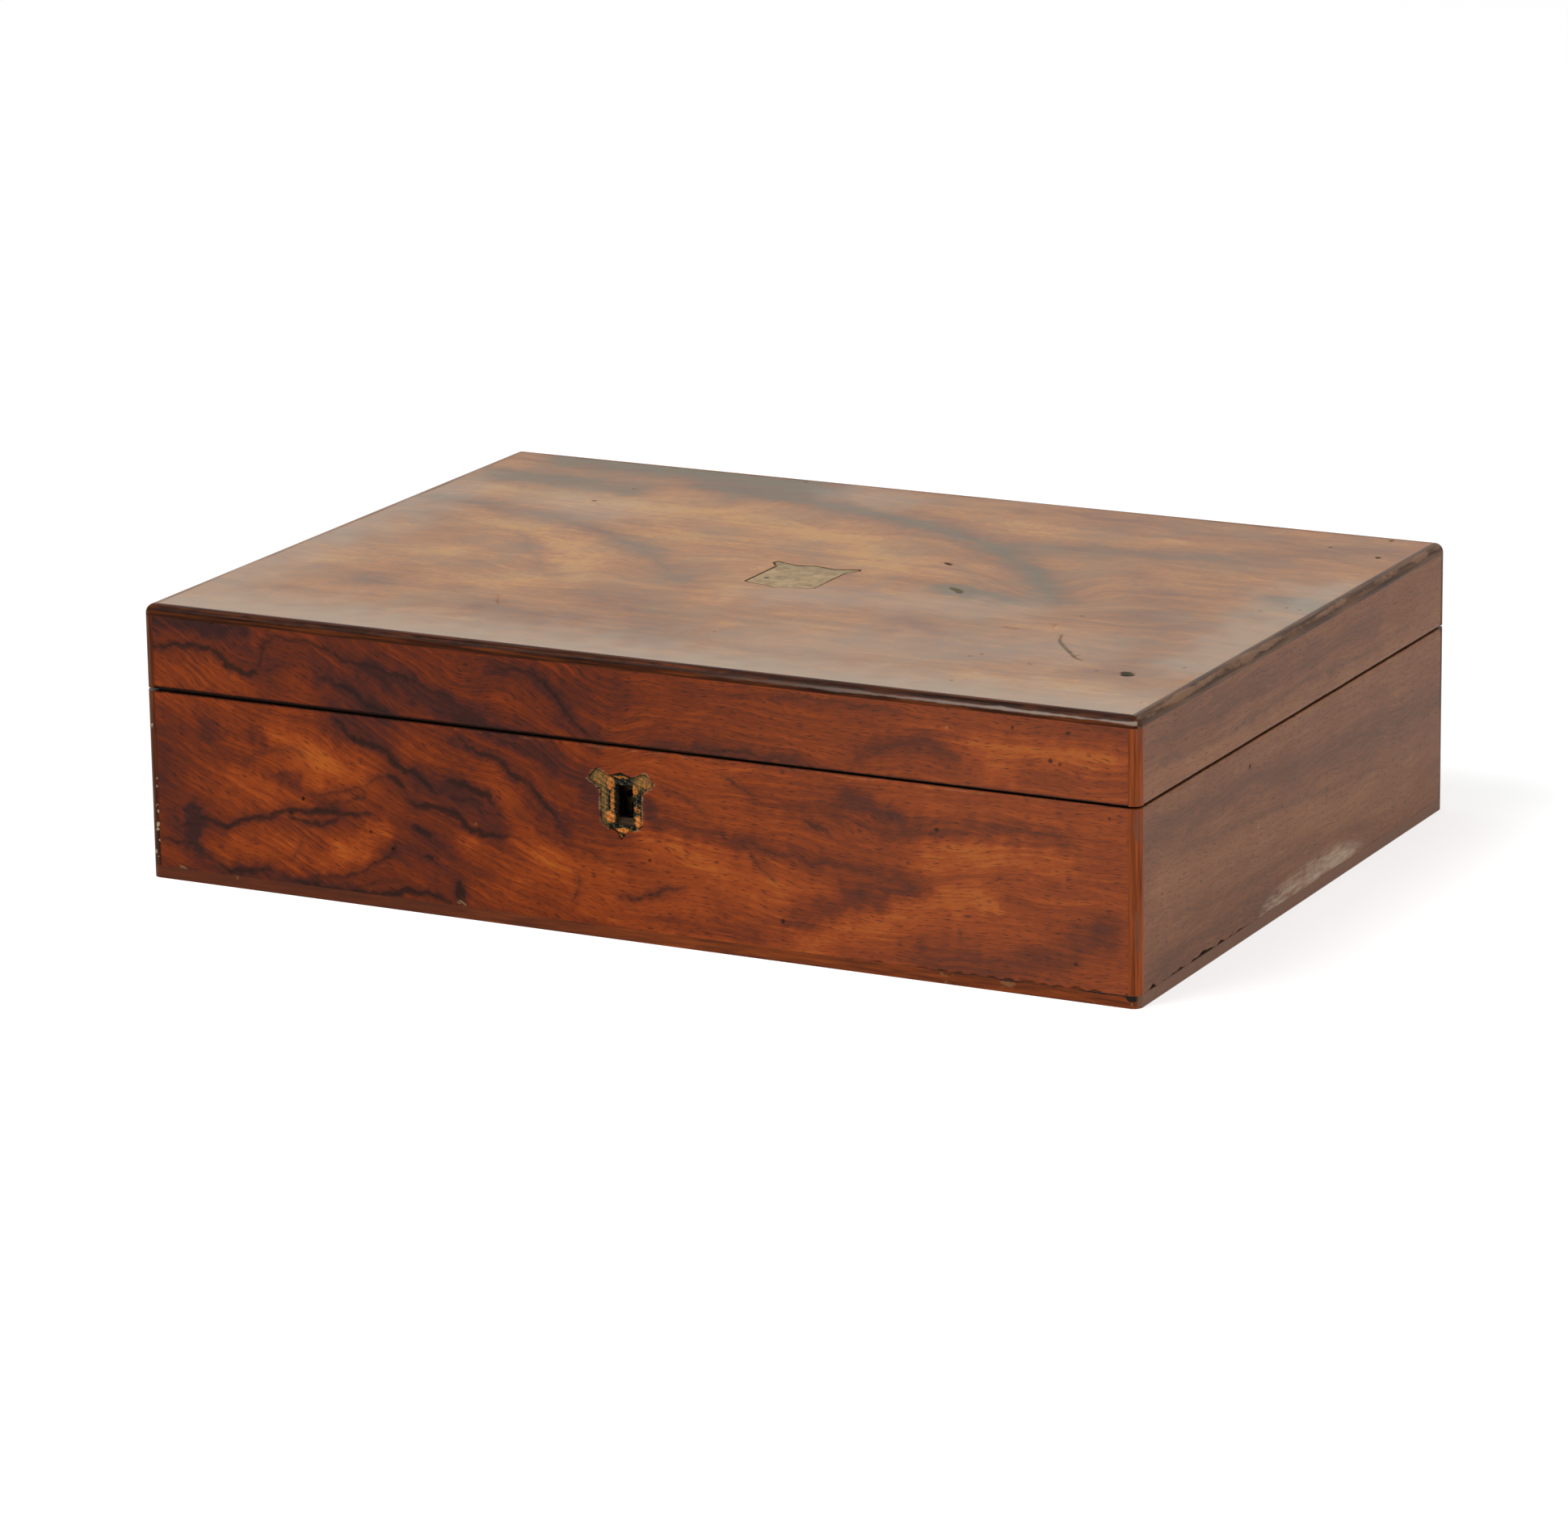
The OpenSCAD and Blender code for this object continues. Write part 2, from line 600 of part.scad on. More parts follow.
// The lid's front board carries the link plate in its rim
module lid_front_board() color(pine) difference() {
    long_board(lid_z, panel_z - lid_z);
    at_lock() translate([-lock_w / 2 - fit, -selvedge_d - fit, lid_gap - over])
        cube([lock_w + 2 * fit, selvedge_d + fit + over, link_rest + link_t - lid_gap + over]);
    at_lock() at_link_screws() screw_hole(lock_screw_r, lock_screw_head_r, lock_screw_l);
}
module lid_back_board() color(pine) difference() {
    mirror([0, 1, 0]) long_board(lid_z, panel_z - lid_z);
    hinge_room();
}
module lid_right_board() color(pine) side_board(lid_z, panel_z - lid_z);
module lid_left_board() mirror([1, 0, 0]) lid_right_board();

module lid_front_veneer() color(walnut) front_sheet(lid_z, bead_z);
module lid_back_veneer() color(walnut) difference() {
    mirror([0, 1, 0]) front_sheet(lid_z, bead_z);
    hinge_room();
}
module lid_right_veneer() color(walnut) side_sheet(lid_z, bead_z);
module lid_left_veneer() mirror([1, 0, 0]) lid_right_veneer();

// Recess of the name plate, cut right through the veneer
module lid_top_veneer() color(walnut) difference() {
    translate([bead_w - half_w, bead_w - half_d, body_h - veneer_t])
        cube([body_w - 2 * bead_w, body_d - 2 * bead_w, veneer_t]);
    at_plate() translate([0, 0, -over]) linear_extrude(veneer_t + 2 * over) plate_outline(plate_gap);
}

module lid_bead(left, back) color(walnut_bead)
    mirror([left, 0, 0]) mirror([0, back, 0]) corner_bead(lid_z, bead_z - lid_z);
module lid_edge_long(back) color(walnut_bead) mirror([0, back, 0]) top_edge(true);
module lid_edge_short(left) color(walnut_bead) mirror([left, 0, 0]) top_edge(false);

// Places the name plate's outline on the panel, its ears to the back
module at_plate() translate([plate_x, plate_y + plate_h / 2, body_h - veneer_t]) children();
module name_plate() color(brass) at_plate() linear_extrude(plate_t) plate_outline();

module lid_ceiling_lining() color(paper)
    translate([lining_t - inner_x, lining_t - inner_y, panel_z - lining_t])
        cube([2 * (inner_x - lining_t), 2 * (inner_y - lining_t), lining_t]);
module lid_wall_lining() color(paper) wall_sheet(lid_z + lining_setback, panel_z);

module at_link_screws() for (x = [-1, 1])
    translate([x * link_screw_x, -selvedge_d / 2, link_rest + screw_sink]) mirror([0, 0, 1]) children();

// Link plate in the lid's rim, with the two hooks that the bolt holds down
module link_plate() color(brass) at_lock() difference() {
    union() {
        translate([-lock_w / 2, -selvedge_d, link_rest]) cube([lock_w, selvedge_d, link_t]);
        for (x = toe_x) translate([x, cavity_y - hook_t / 2, 0]) {
            translate([toe_l, 0, -hook_drop]) cube([hook_stem, hook_t, hook_drop + link_rest + link_t / 2]);
            translate([0, 0, -hook_drop]) cube([toe_l + hook_stem, hook_t, toe_h]);
        }
    }
    at_link_screws() screw_hole(lock_screw_r, lock_screw_head_r, link_t + over);
}
module link_plate_screws() color(brass) at_lock() at_link_screws()
    slotted_screw(lock_screw_r, lock_screw_head_r, lock_screw_l);

place() bottom_board();
place() base_front_board();
place() base_back_board();
place() base_left_board();
place() base_right_board();
place() base_front_veneer();
place() base_back_veneer();
place() base_left_veneer();
place() base_right_veneer();
place() base_bead(1, 0);  // base_bead_front_left
place() base_bead(0, 0);  // base_bead_front_right
place() base_bead(1, 1);  // base_bead_back_left
place() base_bead(0, 1);  // base_bead_back_right
place() base_floor_lining();
place() base_wall_lining();
place() bottom_nails();
place() escutcheon_remains();
place() lock_case();
place() lock_cap();
place() lock_key_pin();
place() lock_screws();
place() lock_bolt();
place() lock_spring();
place() hinge_base_leaf(-1);  // hinge_left_base_leaf
place() hinge_pin(-1);  // hinge_left_pin
place() hinge_base_leaf(1);  // hinge_right_base_leaf
place() hinge_pin(1);  // hinge_right_pin
place() hinge_screws(0);  // hinge_base_screws
place() lid_top_panel();
place() lid_front_board();
place() lid_back_board();
place() lid_left_board();
place() lid_right_board();
place() lid_top_veneer();
place() lid_front_veneer();
place() lid_back_veneer();
place() lid_left_veneer();
place() lid_right_veneer();
place() lid_bead(1, 0);  // lid_bead_front_left
place() lid_bead(0, 0);  // lid_bead_front_right
place() lid_bead(1, 1);  // lid_bead_back_left
place() lid_bead(0, 1);  // lid_bead_back_right
place() lid_edge_long(0);  // lid_edge_front
place() lid_edge_long(1);  // lid_edge_back
place() lid_edge_short(1);  // lid_edge_left
place() lid_edge_short(0);  // lid_edge_right
place() name_plate();
place() lid_ceiling_lining();
place() lid_wall_lining();
place() link_plate();
place() link_plate_screws();
place() hinge_lid_leaf(-1);  // hinge_left_lid_leaf
place() hinge_lid_leaf(1);  // hinge_right_lid_leaf
place() hinge_screws(1);  // hinge_lid_screws
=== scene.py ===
"""Desk letter box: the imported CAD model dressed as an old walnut-veneered box. Metres, row frame."""
import math

import bpy
import numpy as np
from mathutils import Matrix
from mathutils.geometry import tessellate_polygon


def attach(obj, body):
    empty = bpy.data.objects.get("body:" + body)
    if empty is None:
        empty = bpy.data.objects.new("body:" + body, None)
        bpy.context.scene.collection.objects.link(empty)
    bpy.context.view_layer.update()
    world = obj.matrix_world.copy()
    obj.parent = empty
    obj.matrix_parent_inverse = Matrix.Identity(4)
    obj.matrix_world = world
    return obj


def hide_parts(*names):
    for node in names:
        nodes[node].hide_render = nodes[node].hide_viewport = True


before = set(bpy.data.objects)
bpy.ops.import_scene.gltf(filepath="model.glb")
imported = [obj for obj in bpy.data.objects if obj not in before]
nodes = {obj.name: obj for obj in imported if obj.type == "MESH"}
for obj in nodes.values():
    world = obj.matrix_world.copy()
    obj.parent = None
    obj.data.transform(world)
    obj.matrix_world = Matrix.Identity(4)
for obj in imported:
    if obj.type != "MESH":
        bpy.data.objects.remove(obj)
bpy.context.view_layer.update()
scene = bpy.context.scene
scene.view_settings.view_transform = "Standard"
MM = 0.001

# --- The camera -------------------------------------------------------------
# The photograph was taken from the right and a little above, from about 2.2 m
# with a long lens, so the box's far edges run almost parallel to the near ones.
AZIMUTH, ELEVATION, ROLL = map(math.radians, (27.1906, 15.3252, -0.8011))
back = np.array([math.sin(AZIMUTH) * math.cos(ELEVATION),
                 -math.cos(AZIMUTH) * math.cos(ELEVATION), math.sin(ELEVATION)])
level = np.cross([0, 0, 1], back)
level /= np.linalg.norm(level)
upward = np.cross(back, level)
right = math.cos(ROLL) * level + math.sin(ROLL) * upward
up = -math.sin(ROLL) * level + math.cos(ROLL) * upward
lens = bpy.data.cameras.new("photo_camera")
lens.sensor_width, lens.lens = 36, 154.22
lens.clip_start, lens.clip_end = 0.1, 30
camera = bpy.data.objects.new("photo_camera", lens)
camera.matrix_world = Matrix.Translation((0.964405, -1.893810, 0.606914)) @ Matrix(
    np.column_stack([right, up, back]).tolist()).to_4x4()
scene.collection.objects.link(camera)
scene.camera = camera
scene.render.film_transparent = False

# --- The studio -------------------------------------------------------------
# A pale floor that runs up behind the box, a big soft lamp high on the left, a
# weak one on the right and a pale room all round, at a plain level.


def linear(code):
    """A hex sRGB colour as linear RGBA: each channel goes through the sRGB curve."""
    parts = [int(code[i:i + 2], 16) / 255 for i in (1, 3, 5)]
    return [c / 12.92 if c <= 0.04045 else ((c + 0.055) / 1.055) ** 2.4 for c in parts] + [1]


def add(tree, kind, inputs=None, **settings):
    """Adds one node, sets its options, and fills or links the inputs that are named."""
    made = tree.nodes.new("ShaderNode" + kind)
    for name, value in settings.items():
        setattr(made, name, value)
    for name, value in (inputs or {}).items():
        if isinstance(value, bpy.types.NodeSocket):
            tree.links.new(value, made.inputs[name])
        else:
            made.inputs[name].default_value = value
    return made


def start_material(name):
    """A new material's node tree, emptied, with its output node."""
    made = bpy.data.materials.new(name)
    made.use_nodes = True
    made.node_tree.nodes.clear()
    return made, made.node_tree, made.node_tree.nodes.new("ShaderNodeOutputMaterial")


def set_ramp(ramp, stops):
    """Sets a colour ramp's stops from (place, hex colour or grey level) pairs."""
    band = ramp.color_ramp
    while len(band.elements) < len(stops):
        band.elements.new(1)
    for element, (place, value) in zip(band.elements, stops):
        element.position = place
        element.color = linear(value) if isinstance(value, str) else (value, value, value, 1)


def floor_mesh():
    """A floor 6 m square that curves up at the back: a quarter circle of 1 m radius on the path's end, then straight up."""
    turn = np.linspace(0, math.pi / 2, 17)
    run = np.concatenate([[-5.0], 3 + np.sin(turn), [4.0]])
    rise = np.concatenate([[0.0], 1 - np.cos(turn), [5.0]])
    points = np.array([[x, y, z] for y, z in zip(run, rise) for x in (-5.0, 5.0)])
    first = np.arange(0, len(points) - 2, 2)
    faces = np.column_stack([first, first + 1, first + 3, first + 2])
    made = bpy.data.meshes.new("studio_floor")
    made.from_pydata(points.tolist(), [], faces.tolist())
    return made


floor = bpy.data.objects.new("studio_floor", floor_mesh())
scene.collection.objects.link(floor)
# Matt white paper: the camera sees it as white, and it keeps the box's shadow.
paper, tree, output = start_material("studio_paper_matt")
matt = add(tree, "BsdfDiffuse", {"Color": linear("#dcdcdc")})
white = add(tree, "Emission", {"Color": (1, 1, 1, 1), "Strength": 1.0})
path = add(tree, "LightPath")
seen = add(tree, "Math", {0: path.outputs["Is Camera Ray"], 1: path.outputs["Is Glossy Ray"]}, operation="MAXIMUM")
seen = add(tree, "Math", {0: seen.outputs[0], 1: path.outputs["Is Transmission Ray"]}, operation="MAXIMUM")
glow = add(tree, "AddShader", {0: matt.outputs[0], 1: white.outputs[0]})
white.inputs["Strength"].default_value = 0.6
shown = add(tree, "MixShader", {0: seen.outputs[0], 1: matt.outputs[0], 2: glow.outputs[0]})
tree.links.new(shown.outputs[0], output.inputs["Surface"])
floor.data.materials.append(paper)

room = bpy.data.worlds.new("studio_room")
scene.world = room
room.use_nodes = True
tree = room.node_tree
tree.nodes.clear()
output = tree.nodes.new("ShaderNodeOutputWorld")
path = add(tree, "LightPath")
seen = add(tree, "Math", {0: path.outputs["Is Camera Ray"], 1: path.outputs["Is Glossy Ray"]}, operation="MAXIMUM")
seen = add(tree, "Math", {0: seen.outputs[0], 1: path.outputs["Is Transmission Ray"]}, operation="MAXIMUM")
pale = add(tree, "Background", {"Color": linear("#f4f4f4"), "Strength": 0.45})
white = add(tree, "Background", {"Color": (1, 1, 1, 1), "Strength": 1.0})
shown = add(tree, "MixShader", {0: seen.outputs[0], 1: pale.outputs[0], 2: white.outputs[0]})
tree.links.new(shown.outputs[0], output.inputs["Surface"])

# Lamp: name, watts, size in metres, place; each one looks at the middle of the box.
for name, watts, size, spot in (("key_softbox", 37, 1.4, (-0.9, -1.35, 2.35)),
                                ("fill_softbox", 13, 1.2, (2.2, -0.5, 1.3))):
    lamp = bpy.data.lights.new(name, "AREA")
    lamp.energy, lamp.size = watts, size
    lamp = bpy.data.objects.new(name, lamp)
    aim = Matrix.Translation(spot).to_translation() * -1
    lamp.matrix_world = Matrix.Translation(spot) @ aim.to_track_quat("-Z", "Y").to_matrix().to_4x4()
    scene.collection.objects.link(lamp)

# --- The front's walnut veneer ----------------------------------------------
# Two sheets of figured walnut, knife-cut about 1 mm thick and glued to the pine
# carcase: the lid's front and the base's, cut apart after gluing, so the figure
# runs across the gap. The base's sheet is cut out where a shield was let in.


def traced(points, steps=4):
    """A smooth line through given points: Catmull-Rom cubics, `steps` samples to a span."""
    p = np.asarray(points, float)
    q = np.vstack([2 * p[0] - p[1], p, 2 * p[-1] - p[-2]])
    t = np.linspace(0, 1, steps, endpoint=False)[:, None, None]
    a, b, c, d = q[:-3], q[1:-2], q[2:-1], q[3:]
    line = 0.5 * (2 * b + (c - a) * t + (2 * a - 5 * b + 4 * c - d) * t**2 + (3 * b - a - 3 * c + d) * t**3)
    return np.vstack([line.transpose(1, 0, 2).reshape(-1, 2), p[-1:]])


def beside(u, v, line, width, reach):
    """How far a point lies inside a line drawn `width` either side: the width, thinning towards both ends as the square root of a sine, less the distance from the nearest straight piece. At least -reach."""
    out = np.full(u.shape, -float(reach))
    low, high = line.min(axis=0) - reach - width, line.max(axis=0) + reach + width
    near = np.flatnonzero((u > low[0]) & (u < high[0]) & (v > low[1]) & (v < high[1]))
    pu, pv, best = u[near], v[near], out[near]
    steps = len(line) - 1
    for i in range(steps):
        (au, av), (bu, bv) = line[i], line[i + 1]
        length = (bu - au)**2 + (bv - av)**2 + 1e-9
        t = np.clip(((pu - au) * (bu - au) + (pv - av) * (bv - av)) / length, 0, 1)
        taper = 0.25 + 0.75 * np.sqrt(np.sin(math.pi * np.clip((i + t) / steps, 0, 1)))
        best = np.maximum(best, width * taper - np.hypot(pu - au - t * (bu - au), pv - av - t * (bv - av)))
    out[near] = best
    return out


def ripple(u, v, size, seed, stretch=1.0):
    """A smooth field from -1 to 1: the mean of 14 sine waves in set random directions, `size` mm long down to a third of it, and `stretch` times longer along u."""
    draw = np.random.default_rng(seed)
    total = np.zeros(u.shape)
    for _ in range(14):
        angle, phase, length = draw.uniform(0, 2 * math.pi), draw.uniform(0, 2 * math.pi), size * draw.uniform(0.33, 1)
        total += np.sin(2 * math.pi * (u * math.cos(angle) / stretch + v * math.sin(angle)) / length + phase)
    return total / 5


def inside(u, v, outline):
    """True where a point is inside an outline: a line from it to the right crosses the outline an odd number of times."""
    odd = np.zeros(u.shape, bool)
    for (au, av), (bu, bv) in zip(outline, np.roll(outline, -1, axis=0)):
        crosses = (av > v) != (bv > v)
        odd ^= crosses & (u < au + (v - av) * (bu - au) / (bv - av if bv != av else 1e-12))
    return odd


def snap_to(u, v, outline, pitch):
    """Moves each grid point that is within half a step of the outline to the nearest place on it, and the nearest point of all to each corner."""
    best, to_u, to_v = np.full(u.shape, pitch * 0.55), u.copy(), v.copy()
    for (au, av), (bu, bv) in zip(outline, np.roll(outline, -1, axis=0)):
        t = np.clip(((u - au) * (bu - au) + (v - av) * (bv - av)) / ((bu - au)**2 + (bv - av)**2), 0, 1)
        near_u, near_v = au + t * (bu - au), av + t * (bv - av)
        away = np.hypot(u - near_u, v - near_v)
        closer = away < best
        best = np.where(closer, away, best)
        to_u, to_v = np.where(closer, near_u, to_u), np.where(closer, near_v, to_v)
    for cu, cv in outline:
        away = np.hypot(u - cu, v - cv)
        if away.min() < pitch:
            to_u[away.argmin()], to_v[away.argmin()] = cu, cv
    return to_u, to_v


def sheet(name, spans, pitch, place, relief, outlines=(), thick=1.0):
    """A veneer panel: a grid of `pitch` mm over (u, v), sunk by relief(u, v) mm and put in space by place(u, v, depth), without the cells inside any of `outlines`. Its edges run `thick` mm down to a flat back, filled from the edge loops. Returns the object and the u, v of every point."""
    (u0, u1), (v0, v1) = spans
    nu, nv = int(round((u1 - u0) / pitch)) + 1, int(round((v1 - v0) / pitch)) + 1
    u, v = (g.ravel() for g in np.meshgrid(np.linspace(u0, u1, nu), np.linspace(v0, v1, nv)))
    k = np.arange(nu * nv).reshape(nv, nu)
    quads = np.stack([k[:-1, :-1], k[:-1, 1:], k[1:, 1:], k[1:, :-1]], -1).reshape(-1, 4)
    for outline in outlines:
        u, v = snap_to(u, v, outline, (u1 - u0) / (nu - 1))
        quads = quads[~inside(u[quads].mean(1), v[quads].mean(1), outline)]
    used, quads = np.unique(quads, return_inverse=True)
    quads, u, v, count = quads.reshape(-1, 4), u[used], v[used], len(used)
    a, b = quads.ravel(), np.roll(quads, -1, axis=1).ravel()
    rim = ~np.isin(a * count + b, b * count + a)
    a, b = a[rim], b[rim]
    after, loops, left = dict(zip(a.tolist(), b.tolist())), [], set(a.tolist())
    while left:
        loop, point = [], min(left)
        while point in left:
            left.discard(point)
            loop.append(point)
            point = after[point]
        loops.append(loop)
    order = np.concatenate(loops)
    low = np.zeros(count, int)
    low[order] = count + np.arange(len(order))
    skirt = np.column_stack([b, a, low[a], low[b]])
    flat = [[(u[i], v[i], 0.0) for i in loop] for loop in loops]
    fill = low[order][np.array(tessellate_polygon(flat))]
    all_u, all_v = np.concatenate([u, u[order]]), np.concatenate([v, v[order]])
    turned = np.cross(np.column_stack([all_u, all_v])[fill[:, 1]] - np.column_stack([all_u, all_v])[fill[:, 0]],
                      np.column_stack([all_u, all_v])[fill[:, 2]] - np.column_stack([all_u, all_v])[fill[:, 0]]) > 0
    fill[turned] = fill[turned][:, ::-1]
    depth = np.concatenate([relief(u, v), np.full(len(order), thick)])
    made = bpy.data.meshes.new(name)
    made.from_pydata((place(all_u, all_v, depth) * MM).tolist(), [], quads.tolist() + skirt.tolist() + fill.tolist())
    made.shade_smooth()
    made.set_sharp_from_angle(angle=math.radians(40))
    piece = bpy.data.objects.new(name, made)
    scene.collection.objects.link(piece)
    return piece, all_u, all_v


def store(piece, **fields):
    """Keeps numbers on a piece's points as attributes: one number each, or three."""
    for name, values in fields.items():
        values = np.asarray(values, np.float32)
        kind, key = ("FLOAT", "value") if values.ndim == 1 else ("FLOAT_VECTOR", "vector")
        piece.data.attributes.new(name, kind, "POINT").data.foreach_set(key, values.ravel())


# The figure, in mm along x and z: each vein's half width, its strength and the
# places it runs through. Weaker ones are stained wood rather than a dark line.
LID_VEINS = (
    (1.0, 1.0, [(-171, 78), (-163.5, 78.3), (-157, 79), (-151, 78.7), (-147, 77), (-144, 75), (-140, 73), (-136, 71.6), (-133, 72)]),
    (1.0, 0.45, [(-133, 72), (-132, 76), (-130.6, 80), (-128, 83.7), (-125, 85.3)]),
    (0.7, 0.4, [(-133, 73), (-126, 75), (-121, 77)]),
    (1.0, 0.65, [(-128, 85), (-118, 85), (-109, 84), (-103, 81), (-93, 79.5), (-84, 78), (-76, 76), (-68, 74), (-59, 70), (-51, 66)]),
    (1.6, 0.5, [(-110, 74), (-103, 72), (-97, 70), (-88.5, 65), (-84, 63.5)]),
    (1.3, 0.5, [(-46, 84), (-38, 84), (-32, 83), (-27, 80), (-24, 77), (-22.5, 74), (-18, 69.5), (-13, 66), (-10, 64)]),
    (1.0, 0.5, [(12, 64), (28, 65), (36, 65.5), (44, 66), (52, 65), (61, 64)]),
    (0.8, 0.5, [(52, 84.6), (66, 85.4), (80, 85), (95, 84.4)]),
    (0.8, 0.3, [(81, 70), (87.5, 71.6), (93, 74), (100, 76), (105, 76), (110, 74), (113, 72)]),
)
BASE_VEINS = (
    (1.0, 1.0, [(-105, 61), (-102, 59.5), (-99, 55), (-96, 54.5), (-92, 54), (-88, 52.4), (-83.5, 50), (-80, 47.4), (-76, 46), (-72, 43.7), (-68, 41)]),
    (1.5, 0.9, [(-85, 45), (-82, 42), (-79, 40)]),
    (0.6, 0.5, [(-85, 45), (-89, 42.4), (-94, 40)]),
    (1.3, 1.0, [(-77, 36.6), (-71, 35.3), (-66, 35), (-60, 34), (-57.5, 31), (-55, 29.5), (-51, 29), (-47, 29.5), (-43, 28.7)]),
    (1.7, 0.8, [(-64, 44.5), (-59, 44), (-55, 43.7), (-51, 42.4), (-49, 42), (-47, 38.7)]),
    (0.8, 0.6, [(-62, 39), (-56, 39.4), (-51, 39)]),
    (1.5, 0.8, [(-77, 27.8), (-73, 27.2), (-70, 25.8)]),
    (1.4, 0.8, [(-73, 18.7), (-71, 18.8), (-69, 18.3)]),
    (0.45, 0.7, [(-112, 34.5), (-109, 35), (-103.5, 36.6), (-98, 38.3), (-94, 38), (-95, 35), (-101, 34), (-106, 32), (-111, 31.6)]),
    (0.9, 1.0, [(-130.6, 25), (-126, 27), (-123, 28), (-118, 28.7), (-107, 29.5), (-101, 30), (-93, 30)]),
    (0.8, 0.9, [(-123, 26), (-118, 25), (-113, 25), (-107, 26), (-103.5, 28)]),
    (0.95, 1.0, [(-157, 22), (-151, 21.6), (-147, 20), (-143, 21.6), (-139, 23.7), (-134, 24.5), (-130, 25)]),
    (0.5, 0.8, [(-83.5, 22), (-83.5, 19.5), (-86, 17), (-91, 14), (-96, 11), (-101, 9), (-107, 8), (-113, 7.8)]),
    (1.2, 1.0, [(-121, 5), (-114, 4.5), (-105, 3.4), (-97, 3.9), (-88.5, 4.5), (-82, 5.8), (-76, 6.6), (-71, 7), (-68, 6), (-63, 4.5)]),
    (0.4, 0.7, [(-98.5, 5), (-89, 8.7), (-80, 9.5)]),
    (1.9, 0.8, [(-60, 12), (-59.8, 9), (-60.6, 6)]),
    (0.8, 0.9, [(-148.5, 7), (-145, 5.8), (-139, 6), (-134, 7), (-129, 7.4)]),
    (0.7, 0.7, [(-155, 10), (-153, 9), (-152, 7.8)]),
    (1.3, 0.3, [(-165, 18.7), (-160, 19.4), (-155, 19)]),
    (0.7, 0.8, [(-171, 13), (-165, 12.6), (-159, 13)]),
    (0.5, 0.5, [(-138.5, 42), (-136, 44.5), (-130, 47), (-124, 48.3), (-118.5, 48.3), (-116.4, 46.6)]),
    (0.5, 0.5, [(-131, 38.7), (-127, 39.5), (-119, 41)]),
    (0.9, 0.8, [(-60, 58.7), (-53, 56), (-47.5, 54.5), (-41, 51), (-36, 48), (-32, 44.5), (-27.5, 40), (-24, 36.6)]),
    (0.9, 0.35, [(13, 40), (20, 38.7), (27.5, 38), (34, 38), (40, 37.4), (46, 36), (52, 34.5), (61, 33.7), (67, 33.7), (79, 33), (88, 32), (94, 31.6), (100, 30)]),
    (0.6, 0.5, [(13, 52), (20, 48.7), (25, 46.6), (30, 43)]),
    (1.0, 0.5, [(34, 58), (39, 55), (44, 53)]),
    (0.6, 0.6, [(40, 38), (43, 33.7), (47.5, 29.5), (52, 26)]),
    (0.7, 0.5, [(-17.5, 19.5), (-17, 15), (-19, 10)]),
    (0.8, 0.4, [(-40, 38.7), (-32.5, 33.7), (-25, 30), (-14, 28), (-7, 25)]),
    (0.8, 0.7, [(-2.5, 13.7), (2.5, 14.5), (9, 16), (12.5, 18), (20, 20)]),
    (1.0, 0.7, [(63, 47), (67, 44.5), (72, 43)]),
    (0.5, 0.6, [(115, 18.7), (116, 14.5)]),
    (0.5, 0.5, [(-122, 12), (-119, 15), (-118, 18)]),
)
